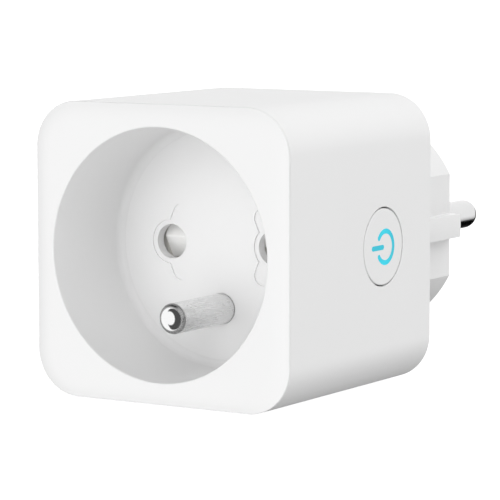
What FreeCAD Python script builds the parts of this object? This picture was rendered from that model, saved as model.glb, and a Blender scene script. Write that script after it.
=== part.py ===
import FreeCAD, Part
import Sketcher
import math
import os
import re

# Plug-in power meter: a cube with a socket in front, a plug behind and a push button on its side.
# Millimetres. The origin is the centre of the plug boss's end face, midway between the plug pins.
# +Y points along the plug pins into the wall, +Z is up, +X is to the right when facing the socket.

# Driving sizes. A depth is measured backwards from the front plane, any other place from the origin.
SIZES = {
    # body, as high as it is wide
    "body_width": 46.0,
    "body_depth": 44.0,
    "corner_radius": 7.3,
    "shell_wall": 2.0,
    "slip_gap": 0.08,
    "parting_depth": 1.0,
    "edge_break": 0.15,
    # front cover
    "crown_width": 3.15,
    "crown_drop": 0.7,
    "lip_depth": 0.95,
    "face_thickness": 2.2,
    "skirt_depth": 5.0,
    "skirt_wall": 1.2,
    "recess_radius": 19.5,
    "recess_tube_radius": 20.8,
    "recess_tube_depth": 20.0,
    "rim_round": 0.25,
    # socket floor
    "recess_depth": 17.9,
    "floor_thickness": 2.0,
    "floor_gap": 0.1,
    "floor_ring_inner": 17.5,
    "floor_ring_back": 21.2,
    "pin_offset": 9.5,
    "hole_radius": 2.75,
    "pad_depth": 0.25,
    "pad_ring_radius": 3.5,
    "lobe_centre_x": 7.6,
    "lobe_centre_z": 4.5,
    "lobe_radius": 1.55,
    "post_x": 12.3,
    "post_z": 12.0,
    "post_radius": 2.2,
    "screw_radius": 1.0,
    "screw_gap": 0.05,
    "screw_head_radius": 1.9,
    "screw_head_height": 1.3,
    "screw_drive_radius": 0.8,
    "screw_length": 5.2,
    # pins
    "pin_radius": 2.4,
    "pin_length": 19.5,
    "pin_dome": 2.38,
    "pin_shank_radius": 2.2,
    "pin_bore_gap": 0.05,
    "pin_taper": 0.2,
    "pin_collar_radius": 3.2,
    "pin_collar_thickness": 1.2,
    "pin_tail_radius": 1.5,
    "pin_tail_length": 3.4,
    "earth_offset": 10.1,
    "earth_pin_length": 14.5,
    "earth_pin_tip_round": 0.8,
    "earth_collar_back": 21.0,
    "earth_tail_back": 27.4,
    # shutter
    "shutter_half_width": 12.3,
    "shutter_block_width": 5.6,
    "shutter_bottom": 3.0,
    "shutter_top": 3.2,
    "shutter_ridge_height": 0.55,
    "shutter_bridge_low": 0.5,
    "shutter_ridge_depth": 20.5,
    "shutter_low_depth": 22.7,
    "shutter_high_depth": 22.0,
    "shutter_back_depth": 24.0,
    "shutter_bridge_depth": 22.4,
    "spring_seat_half": 2.2,
    "spring_seat_height": 1.0,
    "spring_seat_depth": 21.0,
    "spring_depth": 22.6,
    "spring_coil_radius": 1.35,
    "spring_wire_radius": 0.18,
    "spring_turns": 8.0,
    "spring_top": 12.7,
    # contact carrier
    "carrier_front": 24.2,
    "carrier_plate": 1.5,
    "carrier_half_width": 15.6,
    "carrier_half_height": 15.8,
    "carrier_back": 37.4,
    "chamber_inner": 5.5,
    "chamber_outer": 13.5,
    "chamber_half_height": 5.0,
    "chamber_wall": 1.0,
    "pin_window_radius": 3.0,
    "guide_gap": 0.1,
    "guide_width": 1.2,
    "guide_front": 21.4,
    "guide_top": 9.7,
    "stop_half_width": 2.4,
    "stop_height": 1.5,
    # socket contacts
    "leaf_thickness": 0.6,
    "leaf_gap": 4.2,
    "leaf_half_height": 3.0,
    "leaf_front": 26.6,
    "contact_base_depth": 37.2,
    "contact_tab_half": 1.5,
    "clip_front": 29.5,
    "clip_back": 32.5,
    "clip_thickness": 0.25,
    # boards
    "board_front": 38.6,
    "board_thickness": 1.6,
    "board_half_size": 20.3,
    "board_corner": 4.6,
    "strap_slot_half": 2.0,
    "strap_slot_low": 13.0,
    "strap_slot_high": 11.0,
    # rear cover and boss
    "rear_plate": 2.0,
    "boss_length": 19.2,
    "boss_radius": 18.3,
    "boss_cavity_radius": 14.7,
    "boss_end_wall": 2.5,
    "flat_offset": 16.2,
    "rib_half_height": 1.93,
    "earth_bore_radius": 2.75,
    "notch_half_width": 3.2,
    "notch_floor": 16.3,
    "clip_slot_half_width": 2.6,
    "clip_slot_top": 17.7,
    # earth parts
    "strip_thickness": 0.8,
    "earth_clip_half_width": 2.4,
    "earth_clip_inner": 16.6,
    "earth_clip_outer": 17.4,
    "earth_clip_end": 1.0,
    "ring_front": 41.0,
    "ring_thickness": 0.6,
    "ring_inner": 15.5,
    "ring_outer": 17.4,
    "earth_tube_outer": 3.3,
    "earth_tube_inner": 2.5,
    "earth_tube_front": 46.0,
    "strap_half_width": 1.6,
    "strap_low": 12.4,
    "strap_high": 11.6,
    "strap_foot_top": 7.6,
    "rivet_gap": 0.02,
    # busbars
    "bus_foot_inner": 7.2,
    "bus_leg_inner": 12.0,
    "bus_leg_outer": 12.8,
    "bus_half_height": 2.0,
    "bus_foot_inset": 0.2,
    # relay
    "relay_half_width": 5.1,
    "relay_low": 6.0,
    "relay_high": 13.0,
    "relay_base_back": 41.6,
    "relay_case_back": 56.2,
    "relay_case_wall": 0.6,
    "coil_height": 1.0,
    "coil_radius": 4.1,
    "coil_front": 43.4,
    "coil_back": 51.0,
    "bobbin_flange": 0.8,
    "bobbin_half": 4.2,
    "bobbin_hub_radius": 2.1,
    "core_radius": 1.5,
    "core_head_radius": 3.0,
    "core_head_front": 51.9,
    "core_head_back": 52.6,
    "winding_gap": 0.02,
    "yoke_half_width": 3.8,
    "yoke_foot_front": 41.7,
    "yoke_foot_back": 42.5,
    "yoke_low": 4.7,
    "yoke_high": 3.6,
    "yoke_margin": 1.0,
    "armature_front": 53.3,
    "armature_back": 54.3,
    "armature_far": 6.2,
    "knuckle_radius": 0.3,
    "knuckle_lift": 0.4,
    "contact_height": 10.2,
    "contact_radius": 1.0,
    "arm_half_width": 1.8,
    "arm_thickness": 0.3,
    "arm_far": 11.4,
    "arm_root": 2.0,
    "moving_contact_front": 53.95,
    "fixed_contact_back": 52.8,
    "fixed_plate_back": 52.2,
    "fixed_strip_inner": 11.4,
    "fixed_strip_outer": 12.1,
    # parts on the main board: places across it, and heights above its front face
    "can_radius": 3.15,
    "can_height": 10.5,
    "can_left": 10.5,
    "can_right": 3.6,
    "can_z": 12.5,
    "can_neck_radius": 2.9,
    "can_neck_height": 1.2,
    "can_neck_length": 0.5,
    "choke_radius": 2.0,
    "choke_flange_radius": 2.9,
    "choke_flange": 0.9,
    "choke_height": 7.5,
    "choke_x": 3.4,
    "choke_z": 12.0,
    "disc_radius": 3.9,
    "disc_left": 8.2,
    "disc_right": 11.2,
    "disc_height": 5.0,
    "disc_z": 11.6,
    "disc_lead_half": 0.3,
    "disc_lead_offset": 2.9,
    "disc_lead_top": 3.0,
    "fuse_radius": 1.4,
    "fuse_cap_radius": 1.6,
    "fuse_cap_length": 1.8,
    "fuse_left": 13.6,
    "fuse_right": 4.4,
    "fuse_height": 2.0,
    "fuse_z": 9.0,
    "bridge_x": 10.0,
    "bridge_z": 14.6,
    "bridge_half_width": 3.0,
    "bridge_half_height": 2.0,
    "bridge_top": 2.5,
    "chip_x": 7.0,
    "chip_half": 2.0,
    "chip_top": 1.6,
    "chip_foot": 0.2,
    "buck_z": 8.6,
    "meter_z": 15.0,
    "leg_pitch": 1.0,
    "leg_half": 0.2,
    "leg_reach": 0.9,
    "shunt_left": 11.6,
    "shunt_right": 15.6,
    "shunt_low": 15.0,
    "shunt_high": 12.0,
    "shunt_lift": 4.0,
    # control board and switch
    "control_face": 17.2,
    "control_thickness": 1.0,
    "control_front": 22.0,
    "control_low": 13.0,
    "control_high": 17.5,
    "link_count": 6,
    "link_pitch": 2.0,
    "link_length": 2.5,
    "link_margin": 1.0,
    "radio_front": 23.5,
    "radio_back": 37.5,
    "radio_low": 7.5,
    "radio_high": 17.0,
    "radio_thickness": 0.8,
    "shield_front": 27.2,
    "shield_height": 1.8,
    "shield_margin": 0.5,
    "lamp_half": 0.8,
    "lamp_half_width": 0.4,
    "lamp_height": 0.7,
    "switch_half": 2.3,
    "switch_top": 18.8,
    "plunger_radius": 1.0,
    "plunger_tip": 19.5,
    "plunger_foot": 18.15,
    "dome_radius": 1.6,
    "dome_top_radius": 0.9,
    "dome_height": 0.28,
    "dome_base": 0.25,
    "dome_well_floor": 0.2,
    "dome_well_top": 0.7,
    "switch_gap": 0.1,
    "led_offset": 3.6,
    # button
    "button_depth": 28.8,
    "button_radius": 6.0,
    "button_hole_radius": 6.25,
    "button_flange_radius": 6.8,
    "button_flange_inner": 20.4,
    "button_flange_outer": 20.9,
    "button_web_inner": 21.9,
    "button_skirt_radius": 5.0,
    "stem_radius": 1.2,
    "symbol_depth": 29.42,
    "symbol_drop": 0.08,
    "symbol_radius": 2.47,
    "symbol_stroke": 0.8,
    "symbol_gap_angle": 36.0,
    "bar_front": 25.55,
    "bar_back": 28.6,
    "lens_back_radius": 4.6,
    "lens_back_inner": 21.3,
}

doc = FreeCAD.newDocument("plug_meter")
sheet = doc.addObject("Spreadsheet::Sheet", "sizes")
for row, (alias, size) in enumerate(SIZES.items(), start=1):
    sheet.set(f"A{row}", alias)
    sheet.set(f"B{row}", str(size))
    sheet.setAlias(f"B{row}", alias)
doc.recompute()

NODES = {}
V = FreeCAD.Vector
ALIAS_PATTERN = re.compile(r"\b(" + "|".join(sorted(SIZES, key=len, reverse=True)) + r")\b")

# places that most pieces share, as formulas of the sheet's cells
FRONT = "(-boss_length - body_depth)"
BACK = "(-boss_length)"
HALF_WIDTH = "(body_width / 2)"
SHELL_INSIDE = "(body_width / 2 - shell_wall)"
INSERT_HALF = "(body_width / 2 - shell_wall - slip_gap)"
INSERT_CORNER = "(corner_radius - shell_wall)"
BOARD_BACK = "(board_front + board_thickness)"

# how far a cutting shape reaches past what it cuts
SPILL = "1.0"


def deep(formula):
    """The Y of a point that lies the given depth behind the front plane."""
    return f"({FRONT} + {formula})"


def value(formula):
    """The number that a formula of the sheet's cells stands for."""
    return float(sheet.evalExpression(str(formula)))


def bind(item, name, formula):
    """Bind a property of an object to a formula of the sheet's cells."""
    item.setExpression(name, ALIAS_PATTERN.sub(r"sizes.\1", str(formula)))


def node(name, item):
    """Give a finished object the name of its sub-part and keep it for export."""
    item.Label = name
    NODES[name] = item
    return item


# ---- sketches -------------------------------------------------------------------------------------

def sketch_on(body, plane, place):
    """A sketch on one of the body's own origin planes, moved along +X, +Y or +Z to place."""
    sketch = body.newObject("Sketcher::SketchObject", "profile")
    origin_plane = [f for f in body.Origin.OriginFeatures if f.Role == plane][0]
    sketch.AttachmentSupport = (origin_plane, [""])
    sketch.MapMode = "FlatFace"
    sign = "-" if plane == "XZ_Plane" else ""
    bind(sketch, "AttachmentOffset.Base.z", f"{sign}({place})")
    return sketch


def fix_point(sketch, geometry, point, x, y):
    """Hold a point of the sketch at two formulas."""
    for kind, formula, axis in (("DistanceX", x, -2), ("DistanceY", y, -1)):
        if abs(value(formula)) < 1e-9:
            sketch.addConstraint(Sketcher.Constraint("PointOnObject", geometry, point, axis))
        else:
            held = Sketcher.Constraint(kind, -1, 1, geometry, point, value(formula))
            number = sketch.addConstraint(held)
            bind(sketch, f"Constraints[{number}]", formula)


def add_polygon(sketch, corners):
    """A closed outline through the corners, each given as two formulas."""
    first = sketch.GeometryCount
    count = len(corners)
    points = [V(value(x), value(y), 0) for x, y in corners]
    for i in range(count):
        sketch.addGeometry(Part.LineSegment(points[i], points[(i + 1) % count]))
    for i in range(count):
        sketch.addConstraint(Sketcher.Constraint("Coincident", first + i, 2, first + (i + 1) % count, 1))
    for i, (x, y) in enumerate(corners):
        fix_point(sketch, first + i, 1, x, y)


def add_rectangle(sketch, x_low, x_high, y_low, y_high):
    """A rectangle between four formulas."""
    add_polygon(sketch, [(x_low, y_low), (x_high, y_low), (x_high, y_high), (x_low, y_high)])


def add_circle(sketch, x, y, radius):
    """A circle about a point."""
    number = sketch.addGeometry(Part.Circle(V(value(x), value(y), 0), V(0, 0, 1), value(radius)))
    held = sketch.addConstraint(Sketcher.Constraint("Radius", number, value(radius)))
    bind(sketch, f"Constraints[{held}]", radius)
    fix_point(sketch, number, 3, x, y)


def add_rounded_square(sketch, half, corner):
    """A square of the given half size about the origin, with round corners.

    It starts at the middle of its right side, so that a profile carried along it starts there too.
    """
    first = sketch.GeometryCount
    size, radius = value(half), value(corner)
    straight = size - radius
    turns = [(1, 0), (0, 1), (-1, 0), (0, -1)]
    starts = [V(size, 0, 0)]
    for i, (u, v) in enumerate(turns):
        end = V(u * size - v * straight, v * size + u * straight, 0)
        sketch.addGeometry(Part.LineSegment(starts[-1], end))
        centre = V((u - v) * straight, (v + u) * straight, 0)
        circle = Part.Circle(centre, V(0, 0, 1), radius)
        sketch.addGeometry(Part.ArcOfCircle(circle, i * math.pi / 2, (i + 1) * math.pi / 2))
        starts.append(V((u - v) * straight - v * radius, (v + u) * straight + u * radius, 0))
    sketch.addGeometry(Part.LineSegment(starts[-1], starts[0]))
    for i in range(8):
        start_of_next = 1
        end_of_this = 2
        joint = (first + i, end_of_this, first + i + 1, start_of_next)
        sketch.addConstraint(Sketcher.Constraint("Tangent", *joint))
    sketch.addConstraint(Sketcher.Constraint("Coincident", first + 8, 2, first, 1))
    sketch.addConstraint(Sketcher.Constraint("Vertical", first))
    sketch.addConstraint(Sketcher.Constraint("Vertical", first + 8))
    sketch.addConstraint(Sketcher.Constraint("Horizontal", first + 2))
    sketch.addConstraint(Sketcher.Constraint("Horizontal", first + 6))
    for other in (3, 5, 7):
        sketch.addConstraint(Sketcher.Constraint("Equal", first + 1, first + other))
    held = sketch.addConstraint(Sketcher.Constraint("Radius", first + 1, radius))
    bind(sketch, f"Constraints[{held}]", corner)
    fix_point(sketch, first, 1, half, "0")
    for kind, line, sign in (("DistanceY", 2, ""), ("DistanceX", 4, "-"), ("DistanceY", 6, "-")):
        placed = Sketcher.Constraint(kind, -1, 1, first + line, 1, value(f"{sign}{half}"))
        held = sketch.addConstraint(placed)
        bind(sketch, f"Constraints[{held}]", f"{sign}{half}")


# ---- features of a body ---------------------------------------------------------------------------

def new_body(name):
    """A body that becomes the sub-part of that name."""
    return node(name, doc.addObject("PartDesign::Body", "body"))


def add_pad(body, sketch, length):
    """Raise a sketch: towards -Y from an XZ sketch, +Z from an XY one, +X from a YZ one."""
    pad = body.newObject("PartDesign::Pad", "pad")
    pad.Profile = sketch
    bind(pad, "Length", length)
    doc.recompute()
    return pad


def cut_pocket(body, sketch, length):
    """Cut a sketch the same way that add_pad raises it, and make sure that it cut something."""
    before = body.Shape.Volume
    pocket = body.newObject("PartDesign::Pocket", "pocket")
    pocket.Profile = sketch
    pocket.Reversed = True
    bind(pocket, "Length", length)
    doc.recompute()
    if body.Shape.Volume > before - 1e-4:
        raise RuntimeError(f"a pocket of {body.Label} cuts nothing")
    return pocket


def y_pad(body, front, back, draw):
    """Raise what draw puts on a sketch between two formulas of Y."""
    sketch = sketch_on(body, "XZ_Plane", back)
    draw(sketch)
    return add_pad(body, sketch, f"{back} - {front}")


def y_pocket(body, front, back, draw):
    """Cut what draw puts on a sketch between two formulas of Y."""
    sketch = sketch_on(body, "XZ_Plane", back)
    draw(sketch)
    return cut_pocket(body, sketch, f"{back} - {front}")


def x_pad(body, low, high, draw):
    """Raise what draw puts on a sketch, in Y and Z, between two formulas of X."""
    sketch = sketch_on(body, "YZ_Plane", low)
    draw(sketch)
    return add_pad(body, sketch, f"{high} - {low}")


def x_pocket(body, low, high, draw):
    """Cut what draw puts on a sketch, in Y and Z, between two formulas of X."""
    sketch = sketch_on(body, "YZ_Plane", low)
    draw(sketch)
    return cut_pocket(body, sketch, f"{high} - {low}")


def edges_where(shape, test):
    """The names of a shape's edges that pass a test."""
    return [f"Edge{i}" for i, edge in enumerate(shape.Edges, start=1) if test(edge)]


def dress(body, kind, base, size_name, size, test):
    """Fillet or chamfer the edges of a feature that pass a test."""
    names = edges_where(base.Shape, test)
    if not names:
        raise RuntimeError(f"{body.Label} has no edge to dress")
    feature = body.newObject(f"PartDesign::{kind}", kind.lower())
    feature.Base = (base, names)
    bind(feature, size_name, size)
    doc.recompute()
    return feature


def is_circle(edge, radius, axis, place):
    """True for a circle of that radius whose plane stands at that place along an axis."""
    curve = edge.Curve
    if not isinstance(curve, Part.Circle):
        return False
    along = getattr(curve.Center, axis)
    return abs(curve.Radius - value(radius)) < 1e-4 and abs(along - value(place)) < 1e-4


def turned_body(name, outline, x, z):
    """A body turned about an axis along Y: the outline gives each corner's Y and radius."""
    body = new_body(name)
    sketch = sketch_on(body, "XY_Plane", z)
    add_polygon(sketch, [(f"({x}) + {radius}", along) for along, radius in outline])
    axis = sketch.addGeometry(Part.LineSegment(V(value(x), 0, 0), V(value(x), 1, 0)), True)
    sketch.addConstraint(Sketcher.Constraint("Vertical", axis))
    fix_point(sketch, axis, 1, x, "0")
    turned = body.newObject("PartDesign::Revolution", "turned")
    turned.Profile = sketch
    turned.ReferenceAxis = (sketch, ["Axis0"])
    turned.Angle = 360.0
    doc.recompute()
    return body, turned


# ---- primitives -----------------------------------------------------------------------------------

def block(x, y, z):
    """A box between two formulas on each axis."""
    box = doc.addObject("Part::Box", "block")
    for size_name, place_name, (low, high) in zip(("Length", "Width", "Height"), "xyz", (x, y, z)):
        bind(box, size_name, f"({high}) - ({low})")
        bind(box, f"Placement.Base.{place_name}", low)
    return box


TURNS = {"x": FreeCAD.Rotation(V(0, 1, 0), 90), "y": FreeCAD.Rotation(V(1, 0, 0), -90),
         "z": FreeCAD.Rotation()}


def rod(axis, radius, low, high, across):
    """A cylinder along an axis between two formulas, through a point of the plane across it."""
    cylinder = doc.addObject("Part::Cylinder", "rod")
    cylinder.Placement = FreeCAD.Placement(V(), TURNS[axis])
    bind(cylinder, "Radius", radius)
    bind(cylinder, "Height", f"({high}) - ({low})")
    bind(cylinder, f"Placement.Base.{axis}", low)
    for name, formula in zip("xyz".replace(axis, ""), across):
        bind(cylinder, f"Placement.Base.{name}", formula)
    return cylinder


def joined(*pieces):
    """Several primitives as one solid."""
    fuse = doc.addObject("Part::MultiFuse", "joined")
    fuse.Shapes = list(pieces)
    fuse.Refine = True
    return fuse


def without(base, *tools):
    """A primitive with others cut away."""
    cut = doc.addObject("Part::Cut", "cut")
    cut.Base = base
    cut.Tool = tools[0] if len(tools) == 1 else joined(*tools)
    cut.Refine = True
    return cut


def group(*pieces):
    """Separate solids that share one node."""
    compound = doc.addObject("Part::Compound", "group")
    compound.Links = list(pieces)
    return compound


# ---- front cover ----------------------------------------------------------------------------------

def make_front_cover():
    """The crowned face, the wall of the recess and the skirt that slips inside the body."""
    cover = new_body("front_cover")
    y_pad(cover, FRONT, deep("lip_depth"),
          lambda s: add_rounded_square(s, HALF_WIDTH, "corner_radius"))
    y_pad(cover, deep("lip_depth"), deep("skirt_depth"),
          lambda s: add_rounded_square(s, INSERT_HALF, INSERT_CORNER))
    y_pocket(cover, deep("face_thickness"), deep("skirt_depth"),
             lambda s: add_rounded_square(s, f"({INSERT_HALF} - skirt_wall)",
                                          f"({INSERT_CORNER} - skirt_wall)"))
    y_pad(cover, deep("face_thickness"), deep("recess_tube_depth"),
          lambda s: add_circle(s, "0", "0", "recess_tube_radius"))
    opened = y_pocket(cover, FRONT, deep("recess_tube_depth"),
                      lambda s: add_circle(s, "0", "0", "recess_radius"))
    dress(cover, "Fillet", opened, "Radius", "rim_round",
          lambda e: is_circle(e, "recess_radius", "y", FRONT))
    crown_the_face(cover)


def crown_the_face(cover):
    """Cut the face's border along an arc that starts flat and meets the side at a crisp edge."""
    spine = sketch_on(cover, "XZ_Plane", FRONT)
    add_rounded_square(spine, HALF_WIDTH, "corner_radius")
    profile = sketch_on(cover, "XY_Plane", "0")
    width, drop = value("crown_width"), value("crown_drop")
    edge, front = value(HALF_WIDTH), value(FRONT)
    radius = (width * width + drop * drop) / (2 * drop)
    half_angle = math.asin(width / radius) / 2
    inner = V(edge - width, front, 0)
    middle = V(inner.x + radius * math.sin(half_angle), front + radius * (1 - math.cos(half_angle)), 0)
    outer = V(edge, front + drop, 0)
    far = V(edge + float(SPILL), front + drop, 0)
    corner = V(edge + float(SPILL), front - float(SPILL), 0)
    near = V(edge - width, front - float(SPILL), 0)
    arc = Part.Arc(inner, middle, outer)
    profile.addGeometry(arc)
    for start, end in ((outer, far), (far, corner), (corner, near), (near, inner)):
        profile.addGeometry(Part.LineSegment(start, end))
    for i in range(5):
        profile.addConstraint(Sketcher.Constraint("Coincident", i, 2, (i + 1) % 5, 1))
    fix_point(profile, 0, 1, f"({HALF_WIDTH} - crown_width)", FRONT)
    fix_point(profile, 0, 2, HALF_WIDTH, f"({FRONT} + crown_drop)")
    fix_point(profile, 1, 2, f"({HALF_WIDTH} + {SPILL})", f"({FRONT} + crown_drop)")
    fix_point(profile, 3, 1, f"({HALF_WIDTH} + {SPILL})", f"({FRONT} - {SPILL})")
    fix_point(profile, 4, 1, f"({HALF_WIDTH} - crown_width)", f"({FRONT} - {SPILL})")
    held = profile.addConstraint(Sketcher.Constraint("Radius", 0, radius))
    bind(profile, f"Constraints[{held}]", "(crown_width^2 + crown_drop^2) / (2 * crown_drop)")
    before = cover.Shape.Volume
    crown = cover.newObject("PartDesign::SubtractivePipe", "crown")
    crown.Profile = profile
    crown.Spine = (spine, [f"Edge{i + 1}" for i in range(9)])
    doc.recompute()
    if cover.Shape.Volume > before - 1.0:
        raise RuntimeError("the crown cuts nothing")


# ---- socket floor ---------------------------------------------------------------------------------

def draw_pads(sketch):
    """The round pads about the two pin holes."""
    for side in ("-", ""):
        add_circle(sketch, f"{side}pin_offset", "0", "pad_ring_radius")


def draw_lobe_strip(sketch, side, way):
    """The straight sides of one pad lobe, from the hole's centre to the centre of its round end."""
    length = "sqrt((pin_offset - lobe_centre_x)^2 + lobe_centre_z^2)"
    across_x = f"(lobe_radius * lobe_centre_z / {length})"
    across_z = f"(lobe_radius * (pin_offset - lobe_centre_x) / {length})"
    turn = "-" if side != way else ""
    start = (f"({side}pin_offset)", "0")
    end = (f"({side}lobe_centre_x)", f"({way}lobe_centre_z)")
    corners = []
    for (x, z), sign in ((start, "+"), (end, "+"), (end, "-"), (start, "-")):
        corners.append((f"{x} {sign} {across_x}", f"{z} {sign} ({turn}{across_z})"))
    add_polygon(sketch, corners)


def make_socket_floor():
    """The disc that closes the recess, with the pin holes and the posts of the contact carrier."""
    floor = new_body("socket_floor")
    front = deep("recess_depth")
    back = deep("(recess_depth + floor_thickness)")
    y_pad(floor, front, deep("recess_tube_depth"),
          lambda s: add_circle(s, "0", "0", "(recess_radius - floor_gap)"))
    y_pad(floor, deep("recess_tube_depth"), deep("floor_ring_back"),
          lambda s: add_circle(s, "0", "0", "recess_tube_radius"))
    y_pocket(floor, back, deep("floor_ring_back"),
             lambda s: add_circle(s, "0", "0", "floor_ring_inner"))
    for side in ("-", ""):
        for way in ("-", ""):
            y_pad(floor, back, deep("carrier_front"),
                  lambda s: add_circle(s, f"{side}post_x", f"{way}post_z", "post_radius"))
    y_pocket(floor, front, f"({front} + pad_depth)", draw_pads)
    for side in ("-", ""):
        for way in ("-", ""):
            y_pocket(floor, front, f"({front} + pad_depth)", lambda s: draw_lobe_strip(s, side, way))
            y_pocket(floor, front, f"({front} + pad_depth)",
                     lambda s: add_circle(s, f"{side}lobe_centre_x", f"{way}lobe_centre_z",
                                          "lobe_radius"))
    for side in ("-", ""):
        y_pocket(floor, front, back, lambda s: add_circle(s, f"{side}pin_offset", "0", "hole_radius"))
        for way in ("-", ""):
            y_pocket(floor, deep("(carrier_front - screw_length + carrier_plate)"), deep("carrier_front"),
                     lambda s: add_circle(s, f"{side}post_x", f"{way}post_z",
                                          "(screw_radius + screw_gap)"))
    bored = y_pocket(floor, front, back,
                     lambda s: add_circle(s, "0", "-earth_offset", "(pin_shank_radius + pin_bore_gap)"))
    dress(floor, "Chamfer", bored, "Size", "pin_taper + pin_bore_gap",
          lambda e: is_circle(e, "(pin_shank_radius + pin_bore_gap)", "y", front))


def make_carrier_screws():
    """Four pan-head screws that hold the contact carrier to the floor's posts."""
    screws = []
    head_front = deep("(carrier_front + carrier_plate)")
    head_back = f"({head_front} + screw_head_height)"
    tip = f"({head_front} - screw_length)"
    for side in ("-", ""):
        for way in ("-", ""):
            centre = (f"{side}post_x", f"{way}post_z")
            shank = rod("y", "screw_radius", f"({tip} + screw_gap)", head_front, centre)
            head = rod("y", "screw_head_radius", head_front, head_back, centre)
            drive_floor = f"({head_back} - screw_drive_radius)"
            drive = rod("y", "screw_drive_radius", drive_floor, head_back, centre)
            screws.append(without(joined(shank, head), drive))
    node("carrier_screws", group(*screws))


# ---- pins -----------------------------------------------------------------------------------------

def make_plug_pin(name, x):
    """A plug pin: domed tip, shank through the boss's end wall, collar and riveted tail."""
    wall = "(-boss_end_wall)"
    collar = f"({wall} - pin_collar_thickness)"
    outline = [
        (f"({collar} - pin_tail_length)", "0"),
        (f"({collar} - pin_tail_length)", "pin_tail_radius"),
        (collar, "pin_tail_radius"),
        (collar, "pin_collar_radius"),
        (wall, "pin_collar_radius"),
        (wall, "pin_shank_radius"),
        ("(-pin_taper)", "pin_shank_radius"),
        ("0", "pin_radius"),
        ("pin_length", "pin_radius"),
        ("pin_length", "0"),
    ]
    body, turned = turned_body(name, outline, x, "0")
    dress(body, "Fillet", turned, "Radius", "pin_dome",
          lambda e: is_circle(e, "pin_radius", "y", "pin_length"))


def make_socket_earth_pin():
    """The socket's earth pin, held in the floor disc by its collar."""
    floor = deep("recess_depth")
    tip = f"({floor} - earth_pin_length)"
    back = deep("(recess_depth + floor_thickness)")
    outline = [
        (tip, "0"),
        (tip, "pin_radius"),
        (floor, "pin_radius"),
        (f"({floor} + pin_taper)", "pin_shank_radius"),
        (back, "pin_shank_radius"),
        (back, "pin_collar_radius"),
        (deep("earth_collar_back"), "pin_collar_radius"),
        (deep("earth_collar_back"), "pin_tail_radius"),
        (deep("earth_tail_back"), "pin_tail_radius"),
        (deep("earth_tail_back"), "0"),
    ]
    body, turned = turned_body("socket_earth_pin", outline, "0", "-earth_offset")
    dress(body, "Fillet", turned, "Radius", "earth_pin_tip_round",
          lambda e: is_circle(e, "pin_radius", "y", tip))


# ---- shutter and its spring -----------------------------------------------------------------------

def make_shutter():
    """Two ramped blocks behind the pin holes, joined by a bridge with the spring's seat."""
    shutter = new_body("shutter")
    ridge = [
        (deep("shutter_ridge_depth"), "shutter_ridge_height"),
        (deep("shutter_high_depth"), "shutter_top"),
        (deep("shutter_back_depth"), "shutter_top"),
        (deep("shutter_back_depth"), "-shutter_bottom"),
        (deep("shutter_low_depth"), "-shutter_bottom"),
    ]
    inner = "(shutter_half_width - shutter_block_width)"
    x_pad(shutter, "-shutter_half_width", "shutter_half_width",
          lambda s: add_rectangle(s, deep("shutter_bridge_depth"), deep("shutter_back_depth"),
                                  "-shutter_bridge_low", "shutter_top"))
    for low, high in (("-shutter_half_width", f"(-{inner})"), (inner, "shutter_half_width")):
        x_pad(shutter, low, high, lambda s: add_polygon(s, ridge))
    x_pad(shutter, "-spring_seat_half", "spring_seat_half",
          lambda s: add_rectangle(s, deep("spring_seat_depth"), deep("shutter_back_depth"),
                                  "(shutter_top - spring_seat_height)", "shutter_top"))


def make_shutter_spring():
    """A compression spring between the shutter's seat and the carrier's stop."""
    wire = value("spring_wire_radius")
    low = value("shutter_top") + wire
    high = value("spring_top") - wire
    coil = value("spring_coil_radius")
    helix = Part.makeHelix((high - low) / value("spring_turns"), high - low, coil)
    section = Part.Wire(Part.makeCircle(wire, V(coil, 0, 0), V(0, 1, 0)))
    spring = doc.addObject("Part::Feature", "spring")
    spring.Shape = Part.Wire(helix).makePipeShell([section], True, True)
    spring.Placement = FreeCAD.Placement(V(0, value(deep("spring_depth")), low), FreeCAD.Rotation())
    node("shutter_spring", spring)


# ---- contact carrier and contacts -----------------------------------------------------------------

def make_contact_carrier():
    """The moulding behind the shutter: two contact chambers, shutter guides and the spring's stop."""
    carrier = new_body("contact_carrier")
    plate_back = deep("(carrier_front + carrier_plate)")
    y_pad(carrier, deep("carrier_front"), plate_back,
          lambda s: add_rectangle(s, "-carrier_half_width", "carrier_half_width",
                                  "-carrier_half_height", "carrier_half_height"))
    for side, (low, high) in (("-", ("-chamber_outer", "-chamber_inner")),
                              ("", ("chamber_inner", "chamber_outer"))):
        y_pad(carrier, plate_back, deep("carrier_back"),
              lambda s: add_rectangle(s, low, high, "-chamber_half_height", "chamber_half_height"))
        y_pocket(carrier, plate_back, deep("carrier_back"),
                 lambda s: add_rectangle(s, f"({low} + chamber_wall)", f"({high} - chamber_wall)",
                                         "(chamber_wall - chamber_half_height)",
                                         "(chamber_half_height - chamber_wall)"))
        y_pocket(carrier, deep("carrier_front"), plate_back,
                 lambda s: add_circle(s, f"{side}pin_offset", "0", "pin_window_radius"))
        for way in ("-", ""):
            y_pocket(carrier, deep("carrier_front"), plate_back,
                     lambda s: add_circle(s, f"{side}post_x", f"{way}post_z",
                                          "(screw_radius + screw_gap)"))
    guide = "(shutter_half_width + guide_gap)"
    guides = ((f"(-{guide} - guide_width)", f"(-{guide})"), (guide, f"({guide} + guide_width)"))
    for low, high in guides:
        y_pad(carrier, deep("guide_front"), deep("carrier_front"),
              lambda s: add_rectangle(s, low, high, "-shutter_bottom", "guide_top"))
    y_pad(carrier, deep("spring_seat_depth"), deep("carrier_front"),
          lambda s: add_rectangle(s, "-stop_half_width", "stop_half_width",
                                  "spring_top", "(spring_top + stop_height)"))
    y_pocket(carrier, deep("carrier_front"), plate_back,
             lambda s: add_circle(s, "0", "-earth_offset", "(pin_tail_radius + pin_bore_gap)"))


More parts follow.
